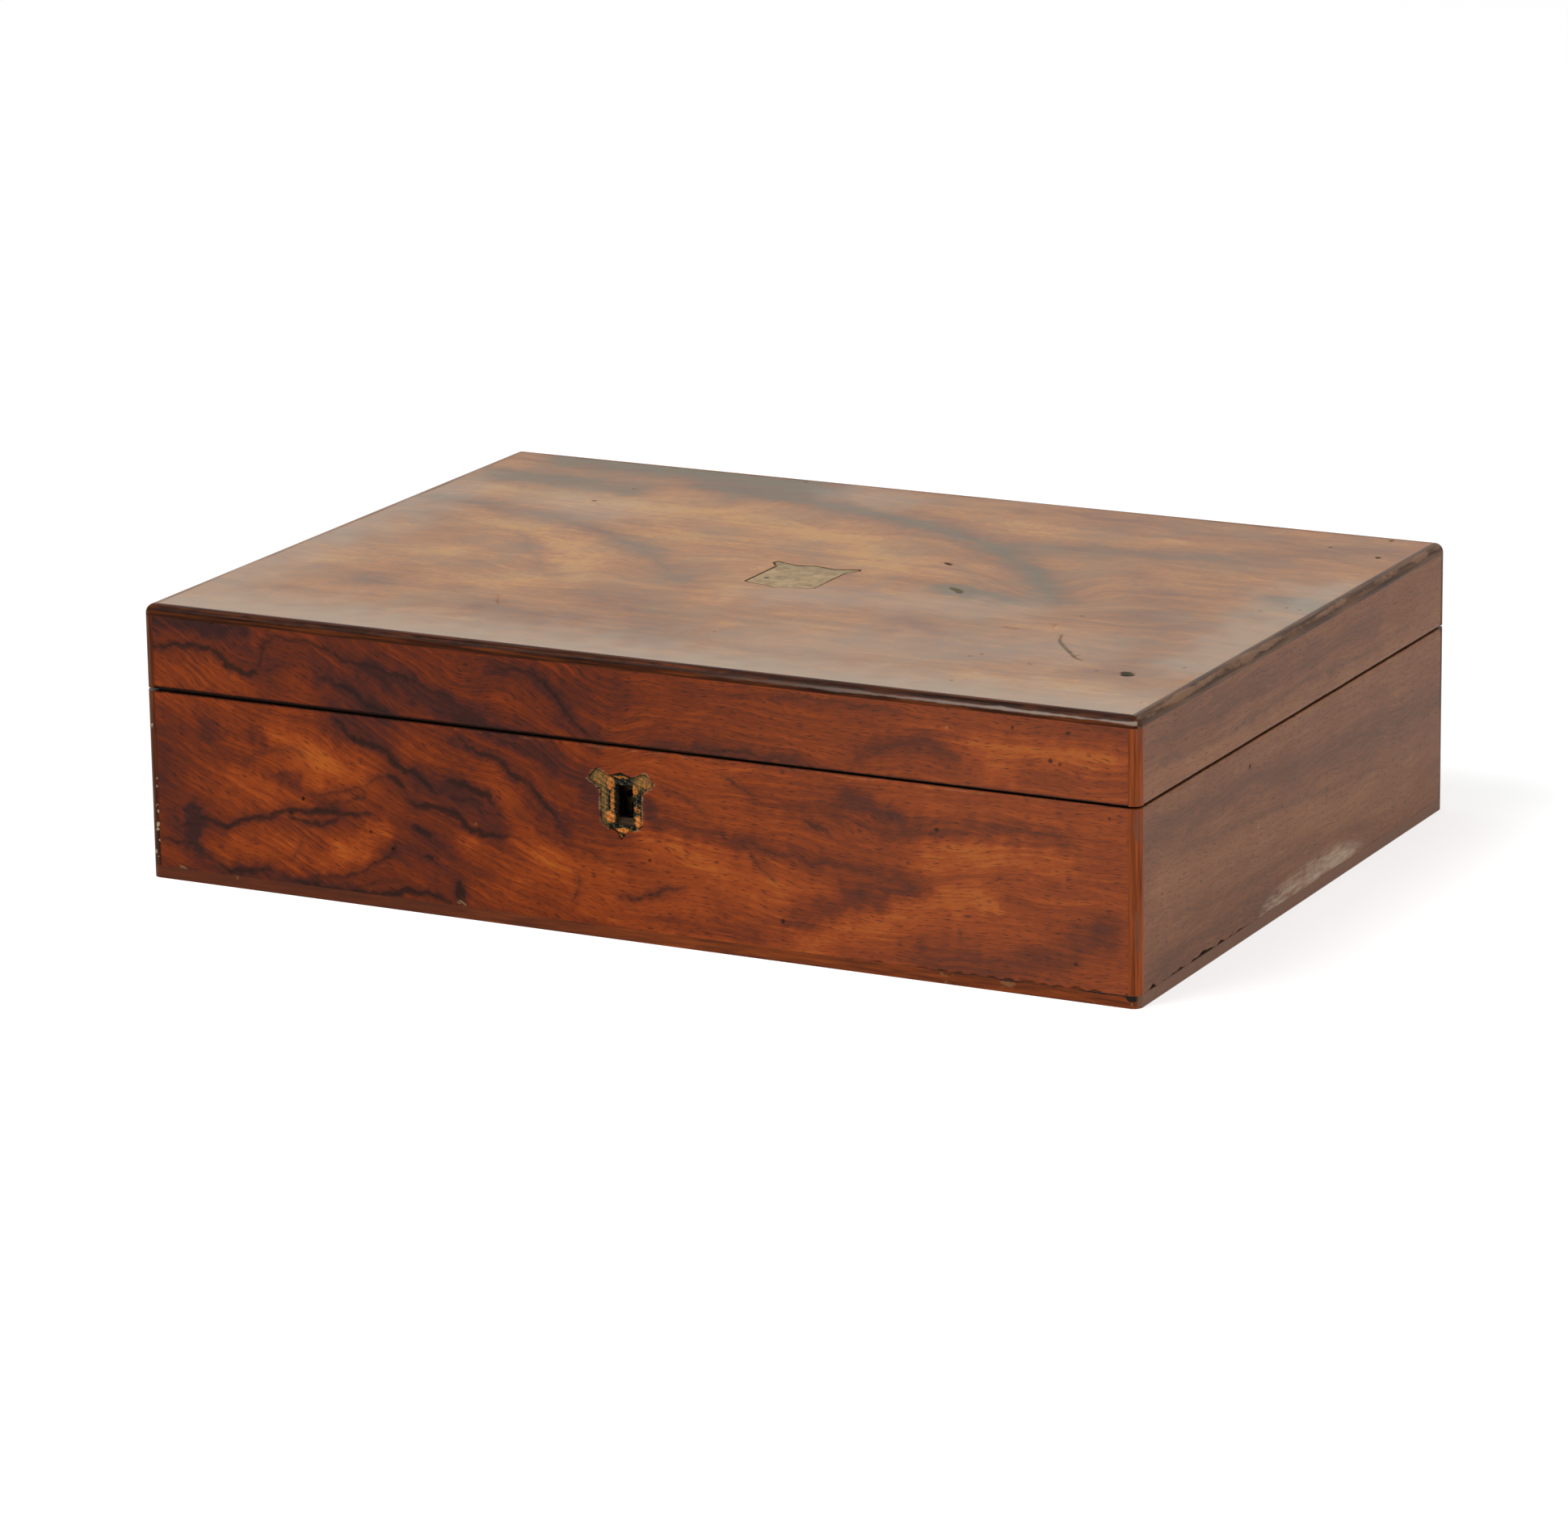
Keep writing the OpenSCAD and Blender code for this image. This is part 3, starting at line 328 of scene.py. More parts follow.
# Broad bands and patches: half width, how far the tone moves, and the places.
# Minus is purple-brown heartwood, plus the bright orange between the figure.
FRONT_BANDS = (
    (2.8, -0.5, [(-158, 25), (-157.5, 19.5), (-159, 14), (-157, 11)]), (4.5, -0.2, [(-166, 20), (-158, 19), (-150, 17)]),
    (4.5, -0.34, [(-93, 78), (-80, 75.5), (-68, 70.5), (-58, 67), (-50, 64.5)]),
    (3.0, -0.25, [(-110, 74), (-103, 72), (-97, 70), (-88.5, 65), (-84, 63.5)]),
    (3.5, -0.28, [(-46, 84), (-38, 84), (-30, 82), (-24, 77), (-20, 71), (-10, 64)]),
    (3.5, -0.4, [(-172, 86), (-163, 87), (-150, 86), (-138, 86)]),
    (6.0, -0.15, [(-18, 81), (-8, 80), (-2, 80)]),
    (3.5, -0.22, [(12, 64), (36, 65.5), (61, 64)]),
    (3.0, -0.2, [(81, 70), (93, 74), (105, 76), (113, 72)]),
    (4.0, 0.28, [(120, 76), (135, 77), (166, 76)]), (5.0, 0.25, [(126, 69), (130, 69.5)]),
    (7.0, 0.22, [(-168, 69), (-150, 69), (-140, 66)]), (6.0, 0.2, [(-120, 70), (-112, 66)]),
    (7.0, -0.2, [(-172, 48), (-168, 40), (-170, 31)]),
    (6.0, -0.3, [(-104, 61), (-94, 60), (-86, 57)]),
    (7.0, 0.34, [(-126, 54), (-117, 50), (-106, 46), (-97, 43)]), (7.0, 0.25, [(-140, 36), (-128, 36), (-112, 42)]),
    (5.0, 0.25, [(-150, 14), (-135, 15), (-120, 16)]), (4.5, 0.3, [(-58, 24), (-55, 24)]),
    (4.0, 0.3, [(-104, 17), (-95, 20), (-88, 26)]), (4.0, 0.2, [(-110, 12), (-98, 16)]),
    (5.0, -0.2, [(-82, 20), (-75, 22), (-68, 22), (-60, 14)]),
    (5.5, -0.3, [(-74, 42), (-62, 41), (-52, 36), (-46, 32)]),
    (3.0, -0.25, [(-60, 58.7), (-47.5, 54.5), (-36, 48), (-27.5, 40), (-22, 34)]),
    (5.5, -0.38, [(-42, 61), (-33, 58.7), (-27, 57), (-22, 54.5), (-14, 50), (-8, 44)]),
    (6.0, -0.15, [(-30, 40), (-16, 36), (0, 32)]),
    (6.0, 0.16, [(-45, 46), (-40, 36), (-30, 26)]), (6.0, 0.15, [(-40, 14), (-22, 22), (-8, 22)]),
    (4.5, -0.22, [(6, 44), (13, 40), (34, 38), (52, 34.5), (79, 33), (100, 30)]),
    (3.0, -0.35, [(9, 43), (10, 43)]),
    (4.0, -0.28, [(77, 55), (85, 54.5), (90, 51), (97, 48.7), (104, 48.7), (117, 50), (133, 51), (150, 50)]),
    (8.0, -0.2, [(50, 54), (62, 53), (76, 53), (90, 48)]),
    (4.0, -0.27, [(58, 13), (70, 18), (77.5, 21), (86, 23.7), (93, 26), (100, 28.7)]),
    (3.0, -0.2, [(77, 26), (81, 26)]),
    (4.8, 0.24, [(62.5, 5), (75, 12), (87.5, 17), (97, 21), (108, 26), (122, 28)]),
    (6.0, 0.2, [(10, 32), (28, 28), (40, 22), (52, 24)]),
    (5.0, 0.2, [(104, 38), (125, 42), (150, 42)]),
    (5.5, -0.3, [(104, 8.7), (119, 7.8), (128, 6), (142, 12), (150, 15), (158, 18.7), (165, 23.7)]),
    (3.0, -0.08, [(161, 21), (163, 21)]), (2.5, 0.3, [(123, 28), (127, 27)]),
    (6.0, -0.18, [(0, 6), (20, 8), (44, 6)]), (5.0, 0.2, [(-20, 12), (4, 10), (24, 14)]),
    (3.0, -0.3, [(-160, 4.5), (-130, 4.8), (-100, 5)]), (3.0, -0.35, [(-124, 38), (-120, 38)]),
    (2.5, -0.3, [(-154, 53), (-152, 53)]), (2.2, -0.3, [(-149, 51), (-147, 51)]), (2.6, -0.32, [(-134, 53.5), (-132, 50)]),
)
# Small dark knots, ink and dirt: x, z, half width and strength.
FRONT_SPOTS = (
    (-97, 54.5, 1.3, 0.5), (-122, 27.5, 1.5, 0.5), (-84, 20, 1.2, 0.8), (-92, 24.5, 0.8, 1), (-117, 33, 1.4, 0.7),
    (-139, 38, 1.1, 0.8), (8.3, 27.4, 1.2, 0.9), (55, 13.3, 1.2, 0.9), (107.9, 48.8, 1.6, 0.7), (154, 12, 1, 1), (165, 59, 0.8, 1),
    (-23.6, 18.4, 0.7, 0.8), (1, 23, 0.7, 0.8), (151.7, 84, 0.9, 1), (145.8, 75, 0.9, 1), (148.8, 74, 0.8, 1),
    (133, 84, 0.9, 0.9), (142, 83, 0.7, 0.9), (123, 17.8, 0.7, 0.8), (20, 20, 0.8, 0.8),
)
# Where polish and wood are worn through to pale: half width, strength, places.
FRONT_WORN = (
    (0.8, 0.9, [(-61.5, 4.4), (-60, 5.4), (-58.4, 4.4)]), (0.7, 0.8, [(-165, 4.5), (-163.5, 4.6), (-161, 4.3)]),
    (0.7, 0.8, [(111, 81), (111.6, 81.2)]), (0.9, 0.6, [(-54, 31.5), (-53, 31.6)]),
    (0.3, 0.75, [(-70, 61.9), (-30, 62.0), (20, 61.9), (60, 62.1), (120, 61.9), (171, 62.0)]),
    (0.3, 0.3, [(-172, 4.4), (-120, 4.2), (-10, 4.3), (60, 4.2), (150, 4.3)]),
    (0.3, 0.45, [(-60, 52), (-58, 51.8)]), (0.3, 0.45, [(-50.5, 50), (-46, 53)]), (0.25, 0.3, [(-5, 24), (2, 21)]),
    (0.25, 0.3, [(86, 47), (88, 44)]), (0.25, 0.3, [(-10, 78), (-6, 80)]), (0.25, 0.3, [(58, 72), (64, 73)]),
)


def wood_fields(u, v, veins, bands, spots, worn, seed, hold=0.5, lean=0.0):
    """The veneer's figure at each point. `grain` runs (along, across) the wood, in mm: across is v plus what the nearby veins say, each point of a vein pulling towards the vein's mean height by a bell curve 15 mm wide and against the weight `hold`; left of x -20 it also leans down by `lean` mm per mm. `vein` is mm inside a vein, less for a weak one, `tone` the sum of the bands' bell curves, and `spot` and `worn` are mm inside a spot or a worn place."""
    du = 0.7 * ripple(u, v, 13, seed) + 0.35 * ripple(u, v, 4, seed + 5)
    dv = 0.7 * ripple(u, v, 13, seed + 1) + 0.35 * ripple(u, v, 4, seed + 6)
    pull, weight = np.zeros(u.shape), np.full(u.shape, hold)
    vein, tone = np.full(u.shape, -3.0), np.zeros(u.shape)
    for width, strength, points in veins:
        line = traced(points)
        vein = np.maximum(vein, beside(u + du, v + dv, line, 0.85 * width, 3) - 1.5 * (1 - strength))
        for pu, pv in line[::3]:
            near = np.exp(-((u - pu)**2 + (v - pv)**2) / 15**2)
            pull, weight = pull + near * (line[:, 1].mean() - pv), weight + near
    for width, shift, points in bands:
        away = np.maximum(-beside(u + 2 * du, v + 2 * dv, traced(points), 0.01, 3 * width), 0)
        tone += shift * np.exp(-(away / width)**2)
    spot = np.max([0.7 * size - np.hypot(u + du / 2 - pu, v + dv / 2 - pv) - 1.2 * (1 - strength)
                   for pu, pv, size, strength in spots] + [np.full(u.shape, -3.0)], axis=0)
    rub = np.max([beside(u + 0.4 * du, v + 0.3 * dv, traced(points), width, 3) - 1.2 * (1 - strength)
                  for width, strength, points in worn] + [np.full(u.shape, -3.0)], axis=0)
    across = v + pull / weight - 25 * lean * np.log1p(np.exp(-(u + 20) / 25)) + 1.2 * ripple(u, v, 45, seed + 2, 2.0) + 0.35 * ripple(u, v, 9, seed + 3, 3.0)
    return dict(grain=np.column_stack([u, across, np.full(u.shape, seed * 37.0)]),
                vein=vein, tone=np.clip(tone, -0.7, 0.7), spot=spot, worn=rub)


def old_walnut(name, stops, vein_code, margin_code, pale_code, tone_at=0.5, streak=0.5, pore=0.5, rough=0.34, gloss=0.1, dark=0.86, figure=0.12, blotch=0.4, fine=0.68):
    """Knife-cut walnut veneer under old shellac polish: fine fibres that follow the grain attribute, dark mineral
    veins, short open pores, ink spots and painted shade from the spot attribute, and worn places. The polish is thin
    and rubbed, so the gloss is soft and weak head on.
    """
    made, tree, output = start_material(name)
    grain = add(tree, "Attribute", attribute_name="grain").outputs["Vector"]
    tone = add(tree, "Attribute", attribute_name="tone").outputs["Fac"]
    vein = add(tree, "Attribute", attribute_name="vein").outputs["Fac"]
    spot = add(tree, "Attribute", attribute_name="spot").outputs["Fac"]
    worn = add(tree, "Attribute", attribute_name="worn").outputs["Fac"]
    # Fibres run 25 to 60 mm along the grain and 0.5 mm across; real ones are finer than the picture shows.
    fibre = add(tree, "Mapping", {"Vector": grain, "Scale": (0.04, 1.3, 1)})
    fibre = add(tree, "TexNoise", {"Vector": fibre.outputs[0], "Scale": 1.0, "Detail": 5.0, "Roughness": 0.72})
    # Growth rings cut at a slant show as streaks 3 to 6 mm apart.
    ring = add(tree, "Mapping", {"Vector": grain, "Scale": (0.011, 0.2, 1)})
    ring = add(tree, "TexNoise", {"Vector": ring.outputs[0], "Scale": 1.0, "Detail": 3.0, "Roughness": 0.55, "Distortion": 0.35})
    # Clouding 20 mm wide, and a mottle 2 mm wide that breaks up every edge.
    mottle = add(tree, "Mapping", {"Vector": grain, "Scale": (0.25, 0.55, 1)})
    mottle = add(tree, "TexNoise", {"Vector": mottle.outputs[0], "Scale": 1.0, "Detail": 3.0, "Roughness": 0.6})
    cloud = add(tree, "Mapping", {"Vector": grain, "Scale": (0.045, 0.11, 1)})
    cloud = add(tree, "TexNoise", {"Vector": cloud.outputs[0], "Scale": 1.0, "Detail": 3.0, "Distortion": 0.8})
    # Fine figure lines 3 mm apart across the grain, bent by the rings' noise.
    split = add(tree, "SeparateXYZ", {"Vector": grain})
    line = add(tree, "Math", {0: ring.outputs[0], 1: 14.0}, operation="MULTIPLY")
    line = add(tree, "Math", {0: split.outputs["Y"], 1: 2 * math.pi / 3.1, 2: line.outputs[0]}, operation="MULTIPLY_ADD")
    line = add(tree, "Math", {0: line.outputs[0]}, operation="SINE")
    line = add(tree, "MapRange", {"Value": line.outputs[0], "From Min": -1.0, "From Max": 1.0})
    tone = add(tree, "Math", {0: tone, 1: tone_at}, operation="ADD").outputs[0]
    # The lines come and go with the clouding.
    patch = add(tree, "MapRange", {"Value": cloud.outputs[0], "From Min": 0.42, "From Max": 0.62})
    for noise, share in ((fibre, fine), (ring, 0.9 * streak), (mottle, 0.9 * blotch), (cloud, blotch), (line, figure)):
        centred = add(tree, "Math", {0: noise.outputs[0], 1: 0.5}, operation="SUBTRACT")
        if noise is line:
            centred = add(tree, "Math", {0: centred.outputs[0], 1: patch.outputs[0]}, operation="MULTIPLY")
        tone = add(tree, "Math", {0: centred.outputs[0], 1: share, 2: tone}, operation="MULTIPLY_ADD").outputs[0]
    wood = add(tree, "ValToRGB", {"Fac": tone})
    set_ramp(wood, stops)
    colour = wood.outputs[0]

    def edge(field, start, end, ragged, source):
        """1 inside a field that is in mm and 0 outside, with the edge made ragged by a noise."""
        centred = add(tree, "Math", {0: source.outputs[0], 1: 0.5}, operation="SUBTRACT")
        moved = add(tree, "Math", {0: centred.outputs[0], 1: ragged, 2: field}, operation="MULTIPLY_ADD")
        return add(tree, "MapRange", {"Value": moved.outputs[0], "From Min": start, "From Max": end},
                   interpolation_type="SMOOTHSTEP").outputs["Result"]

    def edge_noise(field, ragged, source):
        """A field in mm, moved by a noise, so that an edge feathers along the fibres."""
        centred = add(tree, "Math", {0: source.outputs[0], 1: 0.5}, operation="SUBTRACT")
        return add(tree, "Math", {0: centred.outputs[0], 1: ragged, 2: field}, operation="MULTIPLY_ADD").outputs[0]

    # Pores are open tubes cut lengthwise: dashes about 3 mm long, drawn 0.4 mm wide so that they show.
    pores = add(tree, "Mapping", {"Vector": grain, "Scale": (0.3, 2.3, 1)})
    pores = add(tree, "TexNoise", {"Vector": pores.outputs[0], "Scale": 1.0, "Detail": 1.0, "Roughness": 0.4})
    pores = add(tree, "MapRange", {"Value": pores.outputs[0], "From Min": 0.58, "From Max": 0.7, "To Max": pore})
    # A vein has a stained margin 3 mm wide and a darker, ragged core.
    margin = edge(edge_noise(vein, 2.0, fibre), -3.2, 0.3, 2.6, mottle)
    # The spot field holds ink and dirt, and on some pieces painted shade beside the gap and along a crack.
    ink_and_shade = edge(spot, -0.4, 0.4, 0.8, mottle)
    layers = ((pores.outputs["Result"], vein_code), (edge(edge_noise(vein, 2.2, fibre), -1.1, 0.7, 1.8, mottle), vein_code),
              (ink_and_shade, "#1c100b"), (edge(worn, -0.3, 0.5, 1.6, fibre), pale_code))
    margin = add(tree, "Math", {0: margin, 1: 0.45 * dark}, operation="MULTIPLY").outputs[0]
    colour = add(tree, "MixRGB", {"Fac": margin, "Color1": colour, "Color2": linear(margin_code)}).outputs[0]
    for k, (mask, code) in enumerate(layers):
        if k == 3:
            # Rubbing leaves polish in the hollows of the wood, so it looks streaked.
            rubbed = add(tree, "MapRange", {"Value": fibre.outputs[0], "From Min": 0.38, "From Max": 0.58, "To Min": 0.25})
            mask = add(tree, "Math", {0: mask, 1: rubbed.outputs[0]}, operation="MULTIPLY").outputs[0]
        if k in (1, 3):
            mask = add(tree, "Math", {0: mask, 1: dark if k == 1 else 0.75}, operation="MULTIPLY").outputs[0]
        mixed = add(tree, "MixRGB", {"Fac": mask, "Color1": colour, "Color2": linear(code)})
        colour = mixed.outputs[0]
    sheen = add(tree, "MapRange", {"Value": mottle.outputs[0], "To Min": rough - 0.07, "To Max": rough + 0.09})
    # Dirt, ink, open splits and the painted shade in the spot field are dull.
    sheen = add(tree, "MixRGB", {"Fac": ink_and_shade, "Color1": sheen.outputs["Result"], "Color2": (0.95, 0.95, 0.95, 1)})
    height = add(tree, "Math", {0: pores.outputs["Result"], 1: -0.6, 2: fibre.outputs[0]}, operation="MULTIPLY_ADD")
    bump = add(tree, "Bump", {"Height": height.outputs[0], "Strength": 0.12, "Distance": 0.0002})
    shader = add(tree, "BsdfPrincipled", {"Base Color": colour, "Roughness": sheen.outputs[0],
                                          "Specular IOR Level": gloss, "Normal": bump.outputs[0]})
    tree.links.new(shader.outputs[0], output.inputs["Surface"])
    return made


# Purple-brown heart, red-brown, and orange where the polish glows.
front_walnut = old_walnut("walnut_veneer_shellac_polished",
                          ((0.0, "#3c1d18"), (0.2, "#55251a"), (0.42, "#722e12"), (0.62, "#903c12"), (0.82, "#aa4b17"), (1.0, "#bd6020")),
                          "#22110b", "#48221a", "#b39a72", pore=0.65, figure=0.18)

# Towards the right the colour is mixed towards a pale milky brown: a painted sheen.
tree = front_walnut.node_tree
shader = next(n for n in tree.nodes if n.type == "BSDF_PRINCIPLED")
across = add(tree, "SeparateXYZ", {"Vector": add(tree, "TexCoord").outputs["Object"]}).outputs["X"]
milky = add(tree, "MapRange", {"Value": across, "From Min": -0.02, "From Max": 0.12, "To Max": 0.11})
colour = add(tree, "MixRGB", {"Fac": milky.outputs[0], "Color1": shader.inputs["Base Color"].links[0].from_socket,
                              "Color2": linear("#a8806a")})
tree.links.new(colour.outputs[0], shader.inputs["Base Color"])


def front_place(u, v, depth):
    """The front: u runs along +x, v up, and depth goes back from y -125.3."""
    return np.column_stack([u, depth - 125.3, v])


def shield(width, height, ear, point, neck, tip, cut, grow):
    """Half of a shield's outline from its own sizes, then mirrored: a dipped top, an ear drawn out at each corner, a waist, and sides that fall to a point."""
    side = width / 2 + grow
    half = [(0, -0.03 * height + grow), (0.55 * side, -0.09 * height + grow), (side + tip * ear, grow),
            (side + ear + grow, -cut * height + grow), (side, -neck * height - grow), (side, -(1 - point) * height - grow),
            (0.82 * side, -(1 - 0.74 * point) * height - grow), (0.25 * side, -(1 - 0.42 * point) * height - grow)]
    left = [(-x, y) for x, y in half[:0:-1]]
    return np.array(half + [(0, -height - 1.2 * grow)] + left)


def front_relief(u, v):
    """Depth of the front: hollows of 0.06 mm, a rounded arris beside the gap and along the foot, and chips out of the foot."""
    deep = 0.05 + 0.05 * ripple(u, v, 60, 5)
    for height in (62.5, 63.4):
        deep += 0.22 * np.clip(1 - np.abs(v - height) / 0.7, 0, 1)**2
    # The sheet has sprung along the right end of its foot, which leaves a ragged black crack.
    ragged = 4.2 + 0.9 * ripple(u, v * 0, 14, 9)
    deep += 0.6 * np.clip((u - 60) / 60, 0, 1) * np.clip((ragged - v) / 0.5, 0, 1)
    for pu, pv, size in ((-60, 4, 2.0), (-164, 4, 1.6), (-98, 4, 1.0), (20, 4, 0.9), (88, 4, 1.1), (140, 4, 1.4), (-149, 87.5, 1.0)):
        deep += 0.5 * np.clip(1 - np.hypot((u - pu) / 1.5, v - pv) / size, 0, 1)
    return np.maximum(deep, 0)


recess = shield(14.8, 22.5, 4.4, 0.236, 0.32, 0.3, 0.16, 0) + (-1.4, 55.2)
for name, body, span, outlines in (("lid_front_walnut", "lid", (63.4, 87.5), ()),
                                   ("base_front_walnut", "base", (4, 62.5), (recess,))):
    piece, u, v = sheet(name, ((-171.5, 171.5), span), 0.6, front_place, front_relief, outlines)
    figure = wood_fields(u, v, LID_VEINS + BASE_VEINS, FRONT_BANDS, FRONT_SPOTS, FRONT_WORN, 3, 0.5, 0.42)
    # The lid's left half is darker than the rest, and the base's right half brighter.
    figure["tone"] += np.where(v > 63, -0.14 * np.clip((20 - u) / 120, 0, 1) + 0.1 * np.clip((u - 20) / 60, 0, 1),
                               -0.03 + 0.22 * np.clip((u + 60) / 90, 0, 1))
    # Black polish and painted shadow beside the gap, which is widest at the left.
    gap_polish_and_shadow = 0.35 + 0.65 * np.clip((60 - u) / 230, 0, 1)
    figure["spot"] = np.maximum(figure["spot"], np.where(v > 63, gap_polish_and_shadow + 63.4 - v, 0.3 * gap_polish_and_shadow - 0.1 + v - 62.5))
    if outlines:
        # The veneer's lip round the ears of the recess is torn, bare and pale in places.
        lip = beside(u, v, np.vstack([recess, recess[:1]]), 0.01, 3) + 0.2 + 0.45 * ripple(u, v, 5, 61)
        figure["worn"] = np.maximum(figure["worn"], np.where(np.abs(u + 1.4) > 4, lip, -3))
    store(piece, **figure)
    piece.data.materials.append(front_walnut)
    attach(piece, body)
    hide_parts(body + "_front_veneer")

# --- The lid's top ----------------------------------------------------------
# One sheet of walnut laid lengthways on the pine lid, faded to tan by light,
# with a shield-shaped plate let in at the middle. Its polish is scratched and
# bloomed, with its blotchy reflection painted in as pale and grey-olive patches,
# and the wood has a split, a knock and a lost knot near one corner.
TOP_VEINS = (
    (3.0, 0.62, [(-88, 97.5), (-69, 95), (-53, 93), (-39, 90), (-26, 86), (-9, 81), (0, 77), (10, 74), (20, 68), (33, 62), (45, 53), (55, 43), (67, 33), (73, 23), (80, 13), (87, 3), (91, -3)]),
    (2.6, 0.1, [(-168, 49), (-141, 42), (-126, 40), (-109, 35), (-101, 30), (-89, 25), (-79, 18), (-69, 12), (-59, 2.5), (-49, -8), (-38, -20), (-26, -33)]),
    (2.2, -0.1, [(-172, 25), (-151, 23), (-134, 18), (-109, 8), (-101, -5), (-89, -18), (-81, -32), (-69, -43)]),
    (2.4, 0.3, [(155, 28), (164, 26), (172, 23)]),
)
TOP_BANDS = (
    (11, -0.5, [(-149, 116), (-110, 115), (-80, 113), (-49, 108)]), (9, -0.42, [(-160, 84), (-130, 84), (-109, 82)]),
    (8, -0.34, [(-88, 97.5), (-69, 95), (-39, 90), (-9, 81), (10, 74), (33, 62), (55, 43), (73, 23), (91, -3)]),
    (14, 0.3, [(-150, 62), (-120, 66), (-80, 62), (-40, 54), (-5, 42), (20, 22)]),
    (12, 0.3, [(-130, 20), (-100, 10), (-80, -10), (-70, -35), (-90, -55)]), (14, 0.15, [(-60, 30), (-20, 0), (-10, -40)]),
    (7, -0.2, [(-168, 49), (-126, 40), (-101, 30), (-79, 18), (-59, 2.5), (-38, -20), (-26, -33)]),
    (6, -0.16, [(-172, 25), (-134, 18), (-109, 8), (-89, -18), (-69, -43)]),
    (7, -0.25, [(-165, 48), (-145, 47)]), (8, -0.3, [(-128, -67), (-123, -67)]), (6, -0.25, [(-95, -62), (-91, -62)]),
    (9, -0.26, [(-76, -82), (-58, -88), (-39, -88)]), (14, -0.22, [(-35, -60), (-18, -80), (0, -95)]),
    (14, -0.18, [(60, -45), (80, -60), (100, -70)]), (9, -0.24, [(50, 58), (90, 68), (133, 74)]),
    (7, -0.4, [(155, 28), (172, 23)]), (5, -0.45, [(53, -1), (60, -5)]), (6, -0.35, [(66, -2), (79, -9)]),
    (16, -0.2, [(120, 10), (140, -30), (150, -70)]), (12, -0.16, [(60, 100), (110, 95), (160, 100)]),
    (9, 0.16, [(10, 100), (60, 84), (120, 88)]), (9, 0.2, [(110, -100), (150, -100)]), (10, 0.18, [(-150, -40), (-120, -20)]),
)
TOP_SPOTS = (
    (163, 93, 2.6, 0.5), (143, 100, 1.4, 0.7), (158, 117, 1.6, 0.8), (-58.5, 117, 1.3, 1), (-162, 83, 1.1, 0.8),
    (-108.5, 84, 1.1, 0.8), (-60, 71, 1.0, 0.7), (-112, 62.5, 3, 0.1), (162, 18.7, 1.1, 0.9), (167, 17.5, 1.1, 0.9),
    (156, 11.7, 1, 0.9), (107.5, -18, 1.2, 0.8), (99, -74, 1.1, 0.9), (96, -77.5, 1.1, 0.8), (117.5, -79, 1.1, 0.9),
    (140, -78, 1, 0.8), (162.5, -64, 1.2, 0.8), (104, -107, 1.1, 0.8), (10, -82, 1.1, 0.8), (168, -108, 1.2, 0.9),
    (127, -63, 1.1, 0.8), (150.3, -78.8, 3.2, 1), (149.6, -77.6, 2.6, 1), (38, 29.5, 1.2, 0.9),
)
TOP_WORN = (
    (0.5, 0.6, [(12, 17.6), (50, 17.5), (100, 17.2)]), (0.45, 0.5, [(20, -16), (60, -16.3), (105, -16)]),
    (0.5, 0.6, [(-59, -98), (-54, -107)]), (0.45, 0.4, [(-120, -30), (-100, -44)]), (0.4, 0.4, [(60, 30), (82, 44)]),
    (0.4, 0.4, [(-20, -60), (6, -66)]), (0.4, 0.4, [(110, 50), (124, 44)]), (0.4, 0.35, [(-150, -90), (-120, -96)]),
)
TOP_SPLITS = (
    (0.6, 1, [(111, -41), (114, -49), (117.5, -54), (123, -61), (127, -66), (131, -69)]),
    (0.35, 0.8, [(-76, -67), (-73, -74), (-69, -80)]), (0.9, 1, [(36, 30.5), (40, 28)]),
    (1.3, 1, [(52.5, 0), (57, -3), (59, -6)]), (0.4, 0.8, [(104, -30), (105, -36)]), (0.4, 0.7, [(90, -40), (97, -42)]),
)


def top_place(u, v, depth):
    """The top: u runs along +x, v along +y, and depth goes down from z 91."""
    return np.column_stack([u, v, 91 - depth])


def top_relief(u, v):
    """Depth of the top: hollows of 0.08 mm where the pine has shrunk under it, grooves along the splits and a pit at the lost knot."""
    deep = 0.07 + 0.06 * ripple(u, v, 80, 11, 2.0)
    for width, _, points in TOP_SPLITS:
        deep += 0.35 * np.clip(beside(u, v, traced(points), width + 0.6, 2) / (width + 0.6), 0, 1)
    deep += 0.75 * np.clip(1.3 - np.hypot((u - 150.2) / 2.3, (v + 78.6) / 1.9), 0, 1)
    return np.maximum(deep, 0)


def bell(u, v, patches, seed):
    """The greatest of the bell curves round the listed bands, with a 25 mm ripple on their edges."""
    du, dv = 4 * ripple(u, v, 25, seed), 4 * ripple(u, v, 25, seed + 1)
    return np.max([peak * np.exp(-(np.minimum(beside(u + du, v + dv, traced(points), 0.01, 3 * width), 0) / width)**2)
                   for width, peak, points in patches], axis=0)


